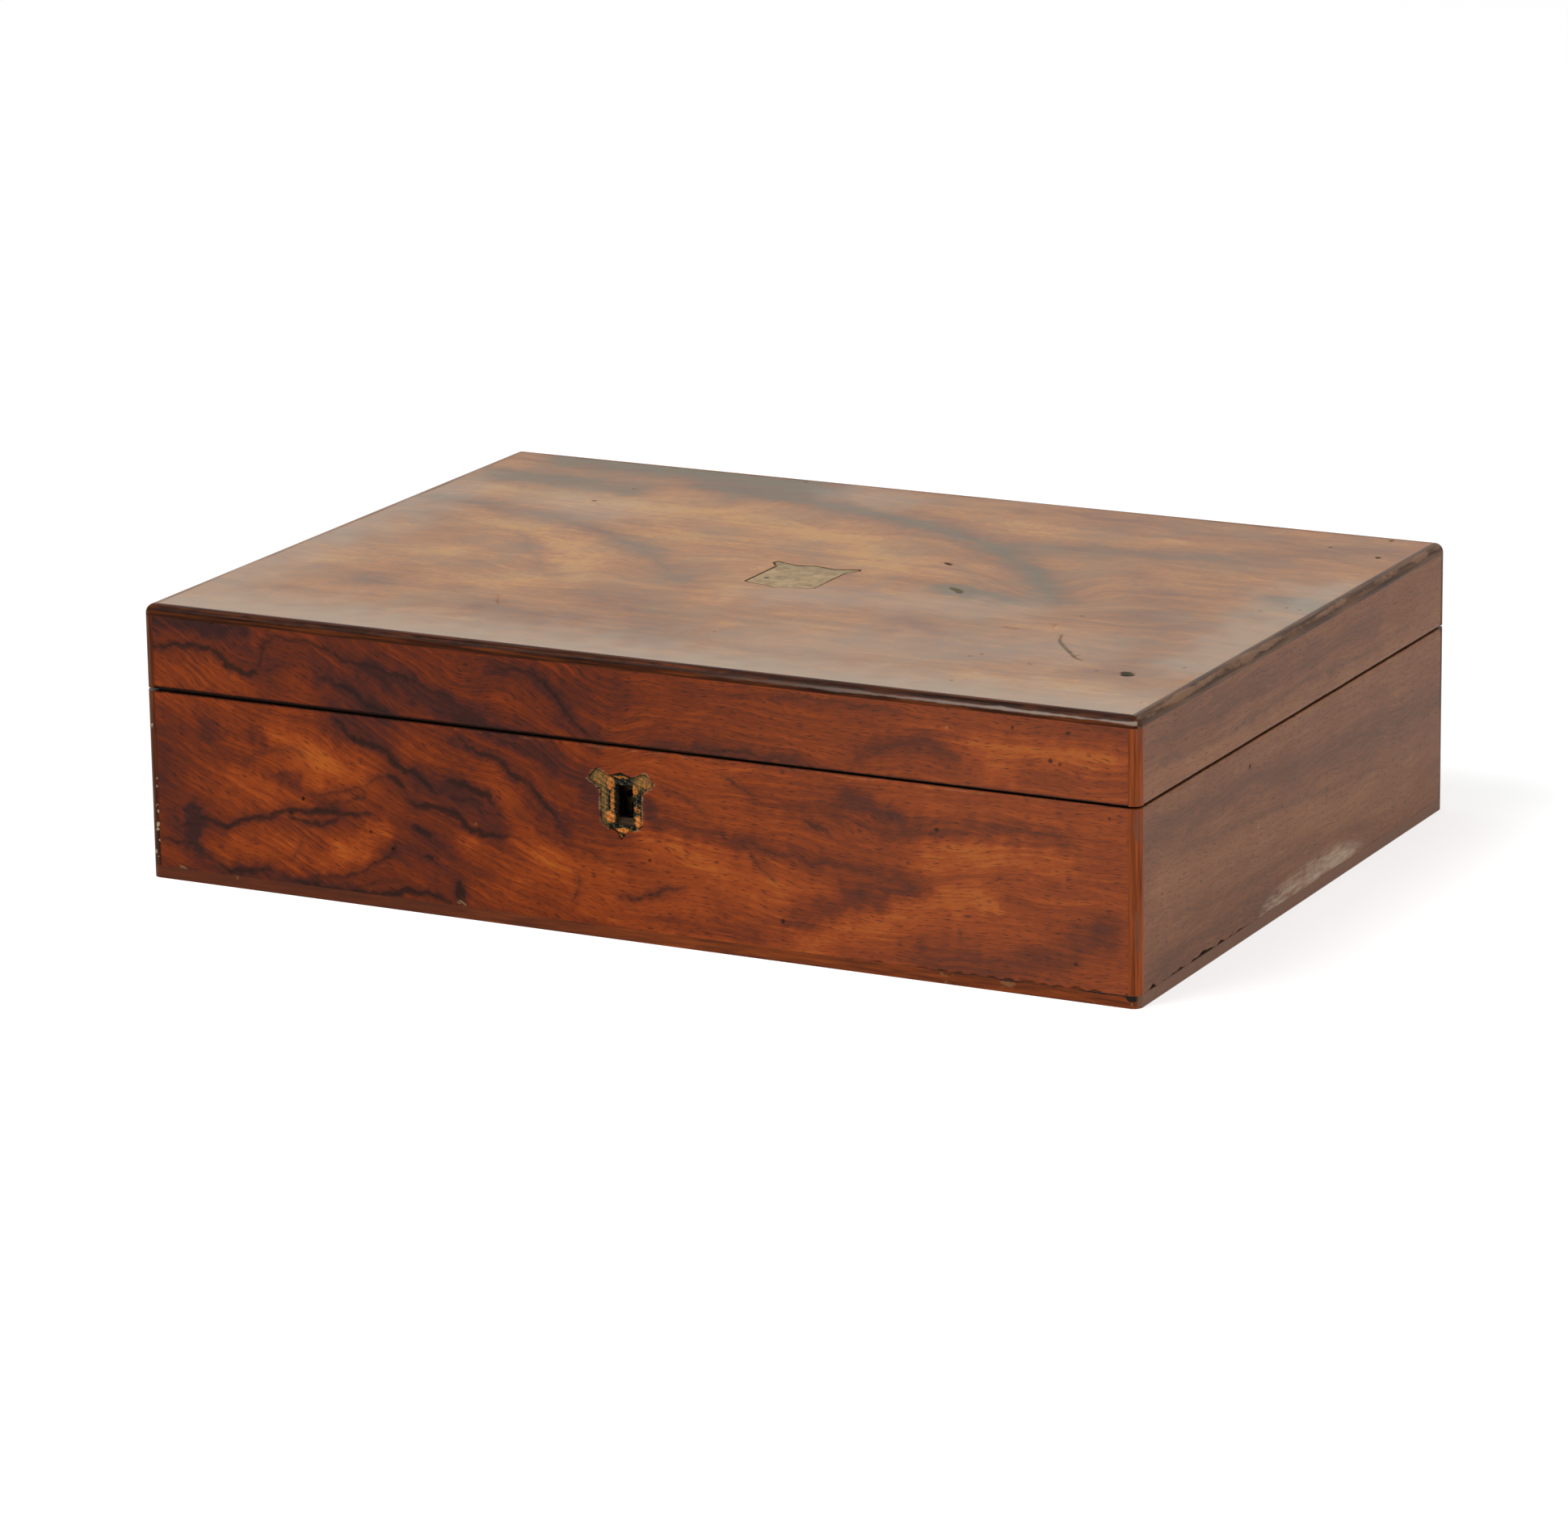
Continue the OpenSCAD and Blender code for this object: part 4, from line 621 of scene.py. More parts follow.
# Bloom is the pale grey haze of old shellac, and partly a painted reflection; green is a grey-olive tint on the veins
# and dark patches, and at the back-left a painted dull reflection.
TOP_BLOOM = ((26, 0.58, [(-172, -118), (-60, -124), (60, -124), (172, -120)]), (22, 0.4, [(-172, -118), (-172, -20), (-172, 60)]),
             (18, 0.45, [(168, -60), (168, 40)]), (16, 0.3, [(-120, 58), (-100, 52)]), (14, 0.3, [(-35, 108), (-20, 104)]),
             (26, 0.28, [(30, -90), (120, -60)]), (16, 0.3, [(10, -30), (80, -20)]))
TOP_GREEN = ((10, 0.75, [(-149, 116), (-100, 116), (-49, 109)]), (9, 0.6, [(-160, 84), (-130, 86), (-109, 83)]),
             (4.8, 0.48, [(-88, 97.5), (-39, 90), (10, 74), (55, 43), (91, -3)]), (5, 0.7, [(155, 28), (172, 23)]),
             (5, 0.8, [(52, -1), (62, -6)]), (5, 0.55, [(66, -2), (79, -9)]), (10, 0.3, [(60, 58), (120, 72)]))
plate_hole = shield(24.4, 32, 3, 0.126, 0.18, 0.85, 0.05, 0.25) + (0.4, 9.5)
top_walnut = old_walnut("walnut_veneer_faded_tan",
                        ((0.0, "#5a4029"), (0.25, "#704a2c"), (0.45, "#87552f"), (0.65, "#9d6533"), (0.85, "#b1753c"), (1.0, "#c08846")),
                        "#5c4a35", "#6a5138", "#b9a084", tone_at=0.69, streak=0.5, pore=0.4, rough=0.38, gloss=0.28, dark=0.4, figure=0.05, blotch=0.75, fine=0.45)
tree = top_walnut.node_tree
shader = next(n for n in tree.nodes if n.type == "BSDF_PRINCIPLED")
colour = shader.inputs["Base Color"].links[0].from_socket
# Grey-olive clouds 25 mm across: old polish, with its blotchy reflection painted in.
smoky = add(tree, "TexNoise", {"Vector": add(tree, "TexCoord").outputs["Object"], "Scale": 42.0, "Detail": 5.0,
                               "Roughness": 0.62, "Distortion": 0.4})
smoky = add(tree, "MapRange", {"Value": smoky.outputs[0], "From Min": 0.46, "From Max": 0.66, "To Max": 0.36})
colour = add(tree, "MixRGB", {"Fac": smoky.outputs[0], "Color1": colour, "Color2": linear("#7a6a50")}).outputs[0]
for field, code in (("green", "#675c40"), ("bloom", "#b3a491")):
    amount = add(tree, "Attribute", attribute_name=field).outputs["Fac"]
    colour = add(tree, "MixRGB", {"Fac": amount, "Color1": colour, "Color2": linear(code)}).outputs[0]
tree.links.new(colour, shader.inputs["Base Color"])
lid_top, u, v = sheet("lid_top_walnut", ((-171.5, 171.5), (-121.8, 119.2)), 0.95, top_place, top_relief, (plate_hole,))
figure = wood_fields(u, v, TOP_VEINS, TOP_BANDS, TOP_SPOTS, TOP_WORN, 21, 4.0)
splits = [beside(u, v, traced(points), width, 3) - 1.2 * (1 - strength) for width, strength, points in TOP_SPLITS]
# A dark ring round the plate: painted shade in the gap.
plate_gap_shade = 0.35 + beside(u, v, np.vstack([plate_hole, plate_hole[:1]]), 0.01, 2)
figure["spot"] = np.max([figure["spot"], plate_gap_shade] + splits, axis=0)
store(lid_top, **figure, bloom=bell(u, v, TOP_BLOOM, 31), green=bell(u, v, TOP_GREEN, 33))
lid_top.data.materials.append(top_walnut)
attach(lid_top, "lid")
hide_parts("lid_top_veneer")

# --- The sides and the back -------------------------------------------------
# Plainer walnut from the same log, with the grain running along each side. It
# has faded duller than the front, and its foot is rubbed pale from handling.
SIDE_VEINS = ((1.2, 0.35, [(-110, 74), (-60, 70), (0, 72), (60, 69), (115, 71)]),
              (1.0, 0.3, [(-115, 44), (-70, 40), (-20, 36), (40, 30), (110, 26)]),
              (1.0, 0.3, [(-100, 22), (-50, 18), (10, 16), (80, 10)]))
SIDE_BANDS = ((6, -0.22, [(-118, 52), (-60, 50), (20, 44), (118, 40)]), (6, -0.2, [(-118, 80), (-40, 80), (60, 78)]),
              (7, 0.14, [(-110, 34), (-60, 30), (10, 26), (90, 20)]), (6, 0.14, [(-118, 68), (0, 66), (118, 66)]),
              (5, -0.2, [(-118, 8), (-60, 10), (-20, 6)]))
SIDE_SPOTS = ((-41, 55, 1.3, 0.8), (-90, 76, 1.0, 0.8), (30, 48, 0.8, 0.8), (84, 33, 0.9, 0.7), (60, 79, 0.9, 0.7))
SIDE_WORN = ((1.0, 0.6, [(-31, 6.4), (-12, 6.6), (8, 7.6)]), (0.9, 0.6, [(2, 9.4), (22, 9.8), (42, 8.4)]),
             (0.9, 0.55, [(14, 6.4), (38, 6.6), (60, 5.4)]), (0.9, 0.7, [(-35, 34), (-33, 34)]),
             (0.5, 0.5, [(-70, 10), (-50, 12)]), (0.4, 0.4, [(-100, 60), (-92, 54)]), (0.4, 0.45, [(10, 74), (20, 77)]),
             (0.45, 0.45, [(-118, 62.2), (0, 62.3), (118, 62.2)]), (0.5, 0.5, [(-100, 4.3), (0, 4.4), (110, 4.3)]))
PLACES = {  # name: span of u, step in mm, the place of u, v and depth, and the figure's seed
    "right": ((-121.8, 119.2), 0.9, lambda u, v, deep: np.column_stack([175 - deep, u, v]), 41),
    "left": ((-119.2, 121.8), 1.2, lambda u, v, deep: np.column_stack([deep - 175, -u, v]), 47),
    "back": ((-171.5, 171.5), 1.2, lambda u, v, deep: np.column_stack([-u, 122.7 - deep, v]), 53),
}


def side_relief(u, v):
    """Depth of a side: hollows of 0.06 mm, rounded arrises at the gap and foot, and a ragged split along the foot where the sheet has sprung."""
    deep = 0.05 + 0.05 * ripple(u, v, 60, 7)
    for height, much in ((62.5, 0.22), (63.4, 0.22), (4.0, 0.0)):
        deep += much * np.clip(1 - np.abs(v - height) / 1.2, 0, 1)**2
    ragged = 4.2 + 1.1 * ripple(u, v * 0, 18, 9)
    sprung = np.clip(1 - np.abs(u + 90) / 55, 0, 1)**0.3
    return np.maximum(deep + 0.6 * sprung * np.clip((ragged - v) / 0.8, 0, 1), 0)


side_walnut = old_walnut("walnut_veneer_faded_brown",
                         ((0.0, "#54321f"), (0.25, "#6e4329"), (0.5, "#855232"), (0.75, "#96623e"), (1.0, "#a6714a")),
                         "#3a2619", "#4f3626", "#a99a88", tone_at=0.52, streak=0.38, pore=0.6, rough=0.4, gloss=0.12, dark=0.5)
# The right side's foot is scuffed grey, fading out into the polish.
tree = side_walnut.node_tree
shader = next(n for n in tree.nodes if n.type == "BSDF_PRINCIPLED")
scuff = add(tree, "Attribute", attribute_name="scuff").outputs["Fac"]
dust = add(tree, "Mapping", {"Vector": add(tree, "TexCoord").outputs["Object"], "Scale": (60, 90, 420)})
dust = add(tree, "TexNoise", {"Vector": dust.outputs[0], "Scale": 1.0, "Detail": 5.0, "Roughness": 0.7})
dust = add(tree, "MapRange", {"Value": dust.outputs[0], "From Min": 0.36, "From Max": 0.62})
scuff = add(tree, "Math", {0: scuff, 1: dust.outputs[0]}, operation="MULTIPLY")
colour = add(tree, "MixRGB", {"Fac": scuff.outputs[0], "Color1": shader.inputs["Base Color"].links[0].from_socket,
                              "Color2": linear("#bfa48a")})
tree.links.new(colour.outputs[0], shader.inputs["Base Color"])
SCUFF = [(-30, 4.5), (-16, 6), (2, 7.4), (18, 7.6), (34, 7), (50, 5)]
# The hinges' barrels lie in notches cut across both back sheets, on z 62.95.
NOTCHES = [np.array([(x - 20.1, 60.55), (x + 20.1, 60.55), (x + 20.1, 65.35), (x - 20.1, 65.35)])
           for x in (-100, 100)]
for side, (span, pitch, place, seed) in PLACES.items():
    for body, rise in (("lid", (63.4, 87.5)), ("base", (4, 62.5))):
        piece, u, v = sheet(f"{body}_{side}_walnut", (span, rise), pitch, place, side_relief,
                            NOTCHES if side == "back" else ())
        shift = u * (0.7 if side == "back" else 1.0)
        figure = wood_fields(shift, v, SIDE_VEINS, SIDE_BANDS, SIDE_SPOTS, SIDE_WORN, seed, 1.5)
        # Painted shade along both edges of the gap between lid and base.
        figure["spot"] = np.maximum(figure["spot"], 0.4 - np.abs(v - 62.95))
        figure["scuff"] = 0 * u
        if piece.name == "base_right_walnut":
            # Along the sprung front half of its foot runs a crack, drawn as a ragged black line of painted shade.
            crack_shade = 4.3 + 1.1 * ripple(u, 0 * v, 18, 9) - v - 2 * np.clip((u + 60) / 30, 0, 1)
            figure["spot"] = np.maximum(figure["spot"], crack_shade)
            figure["scuff"] = 0.95 * np.exp(-(np.minimum(beside(u, v, traced(SCUFF), 2.2, 9), 0) / 1.8)**2)
        store(piece, **figure)
        piece.data.materials.append(side_walnut)
        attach(piece, body)
        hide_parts(f"{body}_{side}_veneer")

# --- The edging and corner beads --------------------------------------------
# Strips of straight-grained walnut, glued into rebates at every upright corner
# and round the lid's top, then rounded over. Handling has worn them down to
# orange wood on the arrises, with black polish and dirt left in the joints. On
# the front ones the arris colours also hold a painted highlight and a painted
# dark reflection.


def edge_walnut(name, stops, rubbed, gloss, along, arris, inner, front):
    """Walnut edging that reads Object coordinates in metres. The grain runs on the axis `along`; `arris` is the sum of the two other signed coordinates, in mm, at the outer corner, and `inner` the same at the joint with the veneer."""
    made, tree, output = start_material(name)
    place = add(tree, "TexCoord").outputs["Object"]
    scale = [1100.0, 1100.0, 1100.0]
    scale[along] = 35.0
    fibre = add(tree, "Mapping", {"Vector": place, "Scale": scale})
    fibre = add(tree, "TexNoise", {"Vector": fibre.outputs[0], "Scale": 1.0, "Detail": 3.0, "Roughness": 0.6})
    scale = [160.0, 160.0, 160.0]
    scale[along] = 60.0
    cloud = add(tree, "Mapping", {"Vector": place, "Scale": scale})
    cloud = add(tree, "TexNoise", {"Vector": cloud.outputs[0], "Scale": 1.0, "Detail": 4.0, "Roughness": 0.65})
    wood = add(tree, "ValToRGB", {"Fac": fibre.outputs[0]})
    set_ramp(wood, stops)
    # How far out a point is: 0 at the joint with the veneer, 1 on the arris.
    out = add(tree, "VectorMath", {0: place, 1: [1000 * c for c in front]}, operation="DOT_PRODUCT").outputs["Value"]
    out = add(tree, "MapRange", {"Value": out, "From Min": inner, "From Max": arris}, clamp=False).outputs["Result"]
    ragged = add(tree, "Math", {0: cloud.outputs[0], 1: 0.9, 2: out}, operation="MULTIPLY_ADD").outputs[0]
    bare = add(tree, "MapRange", {"Value": ragged, "From Min": 1.28, "From Max": 1.42}, interpolation_type="SMOOTHSTEP")
    bare = add(tree, "Math", {0: bare.outputs["Result"], 1: 0.75}, operation="MULTIPLY").outputs[0]
    colour = add(tree, "MixRGB", {"Fac": bare, "Color1": wood.outputs[0], "Color2": linear(rubbed)}).outputs[0]
    dirt = add(tree, "MapRange", {"Value": ragged, "From Min": 0.44, "From Max": 0.32}, interpolation_type="SMOOTHSTEP")
    colour = add(tree, "MixRGB", {"Fac": dirt.outputs["Result"], "Color1": colour, "Color2": linear("#3a1c0e")}).outputs[0]
    if name == "walnut_edge_front":
        # A painted highlight: a pale, silvery line just under the arris, towards the right.
        split = add(tree, "SeparateXYZ", {"Vector": place})
        level = add(tree, "Math", {0: split.outputs["Z"], 1: 0.0891}, operation="SUBTRACT")
        level = add(tree, "Math", {0: level.outputs[0]}, operation="ABSOLUTE")
        level = add(tree, "Math", {0: cloud.outputs[0], 1: -0.0016, 2: level.outputs[0]}, operation="MULTIPLY_ADD")
        line = add(tree, "MapRange", {"Value": level.outputs[0], "From Min": -0.0002, "From Max": -0.0006})
        far = add(tree, "MapRange", {"Value": split.outputs["X"], "From Min": 0.02, "From Max": 0.14, "To Max": 0.95})
        line = add(tree, "Math", {0: line.outputs[0], 1: far.outputs[0]}, operation="MULTIPLY").outputs[0]
        colour = add(tree, "MixRGB", {"Fac": line, "Color1": colour, "Color2": linear("#a08c80")}).outputs[0]
    if name == "walnut_bead_front_left":
        # Knocks along its lower third have left bare, pale flecks.
        low = add(tree, "SeparateXYZ", {"Vector": place}).outputs["Z"]
        low = add(tree, "MapRange", {"Value": low, "From Min": 0.04, "From Max": 0.01, "To Max": 0.11})
        fleck = add(tree, "TexNoise", {"Vector": place, "Scale": 420.0, "Detail": 3.0, "Roughness": 0.6})
        fleck = add(tree, "Math", {0: fleck.outputs[0], 1: low.outputs[0]}, operation="ADD")
        fleck = add(tree, "MapRange", {"Value": fleck.outputs[0], "From Min": 0.69, "From Max": 0.73, "To Max": 0.9})
        colour = add(tree, "MixRGB", {"Fac": fleck.outputs[0], "Color1": colour, "Color2": linear("#c4ad8a")}).outputs[0]
    height = add(tree, "Math", {0: cloud.outputs[0], 1: 2.0, 2: fibre.outputs[0]}, operation="MULTIPLY_ADD").outputs[0]
    bump = add(tree, "Bump", {"Height": height, "Strength": 0.25, "Distance": 0.0004})
    shader = add(tree, "BsdfPrincipled", {"Base Color": colour, "Roughness": 0.3, "Specular IOR Level": gloss,
                                          "Normal": bump.outputs[0]})
    tree.links.new(shader.outputs[0], output.inputs["Surface"])
    return made


ORANGE = ((0.3, "#62301a"), (0.5, "#964a24"), (0.7, "#b1582a"))
DARK_WOOD_AND_REFLECTION = ((0.3, "#1d0c06"), (0.5, "#43200e"), (0.7, "#74391a"))
FADED = ((0.3, "#3a281c"), (0.5, "#5a3d29"), (0.7, "#7c573b"))
UMBER = ((0.3, "#2e160d"), (0.5, "#552812"), (0.7, "#7a3d1c"))
TAN = ((0.3, "#6b4a30"), (0.5, "#8a5f3c"), (0.7, "#a8794c"))
# Ramp, colour of the rubbed arris, and gloss: the left and back top edges have faded with the top.
# On the front beads the arris colour is worn wood and a painted grey-brown highlight; the lid's front edge, ramp and
# arris, is dark wood darkened further as a painted dark reflection.
LOOKS = {"bead_front_right": (ORANGE, "#80523e", 0.06), "edge_front": (DARK_WOOD_AND_REFLECTION, "#1c0b05", 0.05),
         "bead_front_left": (UMBER, "#6a4027", 0.06),
         "edge_left": (TAN, "#b08a62", 0.28), "edge_back": (TAN, "#a5825c", 0.28)}
# Name, grain axis, arris and joint in mm along the outward diagonal, and that diagonal.
for name, along, arris, inner, front in (
        ("bead_front_right", 2, 298.8, 296.1, (1, -1, 0)), ("bead_front_left", 2, 298.8, 296.1, (-1, -1, 0)),
        ("bead_back_right", 2, 296.2, 293.5, (1, 1, 0)), ("bead_back_left", 2, 296.2, 293.5, (-1, 1, 0)),
        ("edge_front", 0, 214.8, 212.1, (0, -1, 1)), ("edge_back", 0, 212.2, 209.5, (0, 1, 1)),
        ("edge_right", 1, 264.5, 261.8, (1, 0, 1)), ("edge_left", 1, 264.5, 261.8, (-1, 0, 1))):
    look = LOOKS.get(name, (FADED, "#8d6a50", 0.06))
    finish = edge_walnut("walnut_" + name, *look, along, arris, inner, front)
    for body in ("base", "lid"):
        if f"{body}_{name}" in nodes:
            nodes[f"{body}_{name}"].data.materials.clear()
            nodes[f"{body}_{name}"].data.materials.append(finish)

# --- The pine carcase -------------------------------------------------------
# The box under the veneer: pine boards glued and pinned, with a thin bottom
# board nailed on. Only the edges that were stained with the walnut show.


def pine(name, along, stained):
    """Planed pine on Object coordinates: early and late wood as bands 3 mm apart along the axis `along`, coloured by
    the ramp `stained`.
    """
    made, tree, output = start_material(name)
    place = add(tree, "TexCoord").outputs["Object"]
    scale = [330.0, 330.0, 330.0]
    scale[along] = 9.0
    ring = add(tree, "Mapping", {"Vector": place, "Scale": scale})
    ring = add(tree, "TexNoise", {"Vector": ring.outputs[0], "Scale": 1.0, "Detail": 3.0, "Distortion": 0.2})
    scale = [1500.0, 1500.0, 1500.0]
    scale[along] = 60.0
    fibre = add(tree, "Mapping", {"Vector": place, "Scale": scale})
    fibre = add(tree, "TexNoise", {"Vector": fibre.outputs[0], "Scale": 1.0, "Detail": 2.0})
    level = add(tree, "Math", {0: fibre.outputs[0], 1: 0.35, 2: ring.outputs[0]}, operation="MULTIPLY_ADD")
    wood = add(tree, "ValToRGB", {"Fac": level.outputs[0]})
    set_ramp(wood, stained)
    bump = add(tree, "Bump", {"Height": level.outputs[0], "Strength": 0.2, "Distance": 0.0004})
    shader = add(tree, "BsdfPrincipled", {"Base Color": wood.outputs[0], "Roughness": 0.6, "Specular IOR Level": 0.2,
                                          "Normal": bump.outputs[0]})
    tree.links.new(shader.outputs[0], output.inputs["Surface"])
    return made


bare_pine = pine("pine_planed_old", 0, ((0.4, "#8a5f35"), (0.65, "#b58a58"), (0.9, "#c79f6c")))


def darken_rims(finish, back=0.2):
    """Darkens a finish to dark brown within 0.6 mm of the gap, which lies on z 62.95, and in front of y = `back` in
    metres: a dark stain on the pine rims, and painted shade on the lock case seen through the gap.
    """
    tree = finish.node_tree
    shader = next(n for n in tree.nodes if n.type == "BSDF_PRINCIPLED")
    split = add(tree, "SeparateXYZ", {"Vector": add(tree, "TexCoord").outputs["Object"]})
    height = add(tree, "Math", {0: split.outputs["Z"], 1: 0.06295}, operation="SUBTRACT")
    height = add(tree, "Math", {0: height.outputs[0]}, operation="ABSOLUTE")
    rim = add(tree, "MapRange", {"Value": height.outputs[0], "From Min": 0.0007, "From Max": 0.0005, "To Max": 0.96})
    outer = add(tree, "MapRange", {"Value": split.outputs["Y"], "From Min": back, "From Max": back - 0.001})
    rim = add(tree, "Math", {0: rim.outputs[0], 1: outer.outputs[0]}, operation="MULTIPLY")
    stained = add(tree, "MixRGB", {"Fac": rim.outputs[0], "Color1": shader.inputs["Base Color"].links[0].from_socket,
                                   "Color2": linear("#22130b")})
    tree.links.new(stained.outputs[0], shader.inputs["Base Color"])


darken_rims(bare_pine)
for name in ("base_front_board", "base_back_board", "base_left_board", "base_right_board", "lid_front_board",
             "lid_back_board", "lid_left_board", "lid_right_board", "lid_top_panel"):
    nodes[name].data.materials.clear()
    nodes[name].data.materials.append(bare_pine)

# The bottom board's edge was stained and polished with the sides; along the
# right-hand foot it is chipped back to bare wood.
stained_pine, tree, output = start_material("pine_edge_stained_walnut")
place = add(tree, "TexCoord").outputs["Object"]
grain = add(tree, "Mapping", {"Vector": place, "Scale": (60, 60, 900)})
grain = add(tree, "TexNoise", {"Vector": grain.outputs[0], "Scale": 1.0, "Detail": 4.0, "Roughness": 0.65})
stain = add(tree, "ValToRGB", {"Fac": grain.outputs[0]})
set_ramp(stain, ((0.3, "#52240f"), (0.5, "#7c3914"), (0.7, "#9c4a1b")))
# Towards the left the foot is as dark as the veneer above it.
left = add(tree, "SeparateXYZ", {"Vector": place}).outputs["X"]
left = add(tree, "MapRange", {"Value": left, "From Min": 0.02, "From Max": -0.08, "To Max": 0.7})
stain = add(tree, "MixRGB", {"Fac": left.outputs[0], "Color1": stain.outputs[0], "Color2": linear("#4c2314")})
chips = add(tree, "TexNoise", {"Vector": place, "Scale": 75.0, "Detail": 4.0, "Roughness": 0.7})
split = add(tree, "SeparateXYZ", {"Vector": place})
# Chips and the crack lie round the front right corner and thin out away from it.
right_side = add(tree, "MapRange", {"Value": split.outputs["X"], "From Min": 0.07, "From Max": 0.16})
front_half = add(tree, "MapRange", {"Value": split.outputs["Y"], "From Min": 0.0, "From Max": -0.06})
where = add(tree, "Math", {0: right_side.outputs[0], 1: front_half.outputs[0]}, operation="MULTIPLY")
level = add(tree, "Math", {0: where.outputs[0], 1: 0.16, 2: chips.outputs[0]}, operation="MULTIPLY_ADD")
bare = add(tree, "MapRange", {"Value": level.outputs[0], "From Min": 0.68, "From Max": 0.73}, interpolation_type="SMOOTHSTEP")
colour = add(tree, "MixRGB", {"Fac": bare.outputs["Result"], "Color1": stain.outputs[0], "Color2": linear("#8c5c36")})
# The crack under the veneer is painted dark as shade, from about 3.4 mm up.
crack_shade = add(tree, "Math", {0: where.outputs[0], 1: 0.0012, 2: split.outputs["Z"]}, operation="MULTIPLY_ADD")
corner = add(tree, "VectorMath", {0: place, 1: (0.1732, -0.1238, 0.0038)}, operation="DISTANCE").outputs["Value"]
corner = add(tree, "MapRange", {"Value": corner, "From Min": 0.0030, "From Max": 0.0026, "To Max": 0.0012})
crack_shade = add(tree, "Math", {0: corner.outputs[0], 1: crack_shade.outputs[0]}, operation="ADD")
crack_shade = add(tree, "Math", {0: chips.outputs[0], 1: 0.0024, 2: crack_shade.outputs[0]}, operation="MULTIPLY_ADD")
crack_shade = add(tree, "MapRange", {"Value": crack_shade.outputs[0], "From Min": 0.0056, "From Max": 0.006})
colour = add(tree, "MixRGB", {"Fac": crack_shade.outputs["Result"], "Color1": colour.outputs[0], "Color2": linear("#120a06")})
facing = add(tree, "SeparateXYZ", {"Vector": add(tree, "NewGeometry").outputs["Normal"]})
# The sides and the back have faded browner than the front; the colour is also lightened there, a painted sheen.
faded = add(tree, "MapRange", {"Value": facing.outputs["Y"], "From Min": -0.8, "From Max": -0.6, "To Max": 0.85})
colour = add(tree, "MixRGB", {"Fac": faded.outputs[0], "Color1": colour.outputs[0], "Color2": linear("#7d5a44")})
below = add(tree, "MapRange", {"Value": facing.outputs["Z"], "From Min": -0.8, "From Max": -0.95})
colour = add(tree, "MixRGB", {"Fac": below.outputs["Result"], "Color1": colour.outputs[0], "Color2": linear("#8c6a45")})
bump = add(tree, "Bump", {"Height": level.outputs[0], "Strength": 0.4, "Distance": 0.0006})
shader = add(tree, "BsdfPrincipled", {"Base Color": colour.outputs[0], "Roughness": 0.5, "Specular IOR Level": 0.15,
                                      "Normal": bump.outputs[0]})
tree.links.new(shader.outputs[0], output.inputs["Surface"])
nodes["bottom_board"].data.materials.clear()
nodes["bottom_board"].data.materials.append(stained_pine)

# The front board shows only in the key slot; within about 20 mm of the slot's middle it is coloured dark olive-brown,
# near black in places.
slot_pine, tree, output = start_material("pine_dark_key_slot")
place = add(tree, "TexCoord").outputs["Object"]
away = add(tree, "VectorMath", {0: place, 1: (-0.0004, -0.122, 0.045)}, operation="DISTANCE").outputs["Value"]
grain = add(tree, "Mapping", {"Vector": place, "Scale": (40, 900, 900)})
grain = add(tree, "TexNoise", {"Vector": grain.outputs[0], "Scale": 1.0, "Detail": 4.0, "Roughness": 0.7})
wood = add(tree, "ValToRGB", {"Fac": grain.outputs[0]})
set_ramp(wood, ((0.35, "#8a5f35"), (0.7, "#b99060")))
slot_dark = add(tree, "ValToRGB", {"Fac": grain.outputs[0]})
set_ramp(slot_dark, ((0.35, "#120d08"), (0.5, "#2c2016"), (0.7, "#5c4226")))
near = add(tree, "MapRange", {"Value": away, "From Min": 0.022, "From Max": 0.018})
colour = add(tree, "MixRGB", {"Fac": near.outputs["Result"], "Color1": wood.outputs[0], "Color2": slot_dark.outputs[0]})
bump = add(tree, "Bump", {"Height": grain.outputs[0], "Strength": 0.5, "Distance": 0.0005})
shader = add(tree, "BsdfPrincipled", {"Base Color": colour.outputs[0], "Roughness": 0.75, "Specular IOR Level": 0.1,
                                      "Normal": bump.outputs[0]})
tree.links.new(shader.outputs[0], output.inputs["Surface"])
darken_rims(slot_pine)
nodes["base_front_board"].data.materials.clear()
nodes["base_front_board"].data.materials.append(slot_pine)

# --- The keyhole's torn bed -------------------------------------------------
# A brass shield was glued and pinned round the keyhole and has been torn off.
# Its bed is left: orange splinters where wood came away with it, between black
# glue and verdigris. About 0.5 mm of this lies on the pine in the recess.
TORN = ((-7.7, 44.5, 1.3, 5.5, 0.4), (-8.6, 52.0, 3.4, 2.4, 0.6), (-5.3, 50.6, 1.6, 2.6, 0.9), (-4.6, 45.0, 0.8, 5.0, 0.75), (-5.6, 39.6, 2.0, 2.2, 1.0),
        (-0.9, 35.6, 2.7, 0.9, 1.0), (4.4, 39.0, 1.5, 2.2, 1.0), (4.2, 43.0, 1.2, 1.6, 0.55), (6.4, 51.8, 3.0, 2.3, 0.7),
        (3.5, 49.0, 1.0, 2.0, 0.9), (-1.5, 52.8, 2.6, 0.5, 0.7), (8.4, 51.0, 0.9, 0.9, 0.9), (-2.0, 33.8, 0.9, 0.8, 0.4))


def torn_field(u, v):
    """1 on torn wood and 0 on glue: the greatest of the ellipses in TORN, each falling off as the square of the distance, with a 1.6 mm ripple."""
    return np.max([peak * np.clip(1.35 - ((u - pu) / ru)**2 - ((v - pv) / rv)**2, 0, 1) for pu, pv, ru, rv, peak in TORN],
                  axis=0) + 0.4 * ripple(u, v, 2.2, 61) + 0.25 * ripple(u, v, 0.9, 62) - 0.1


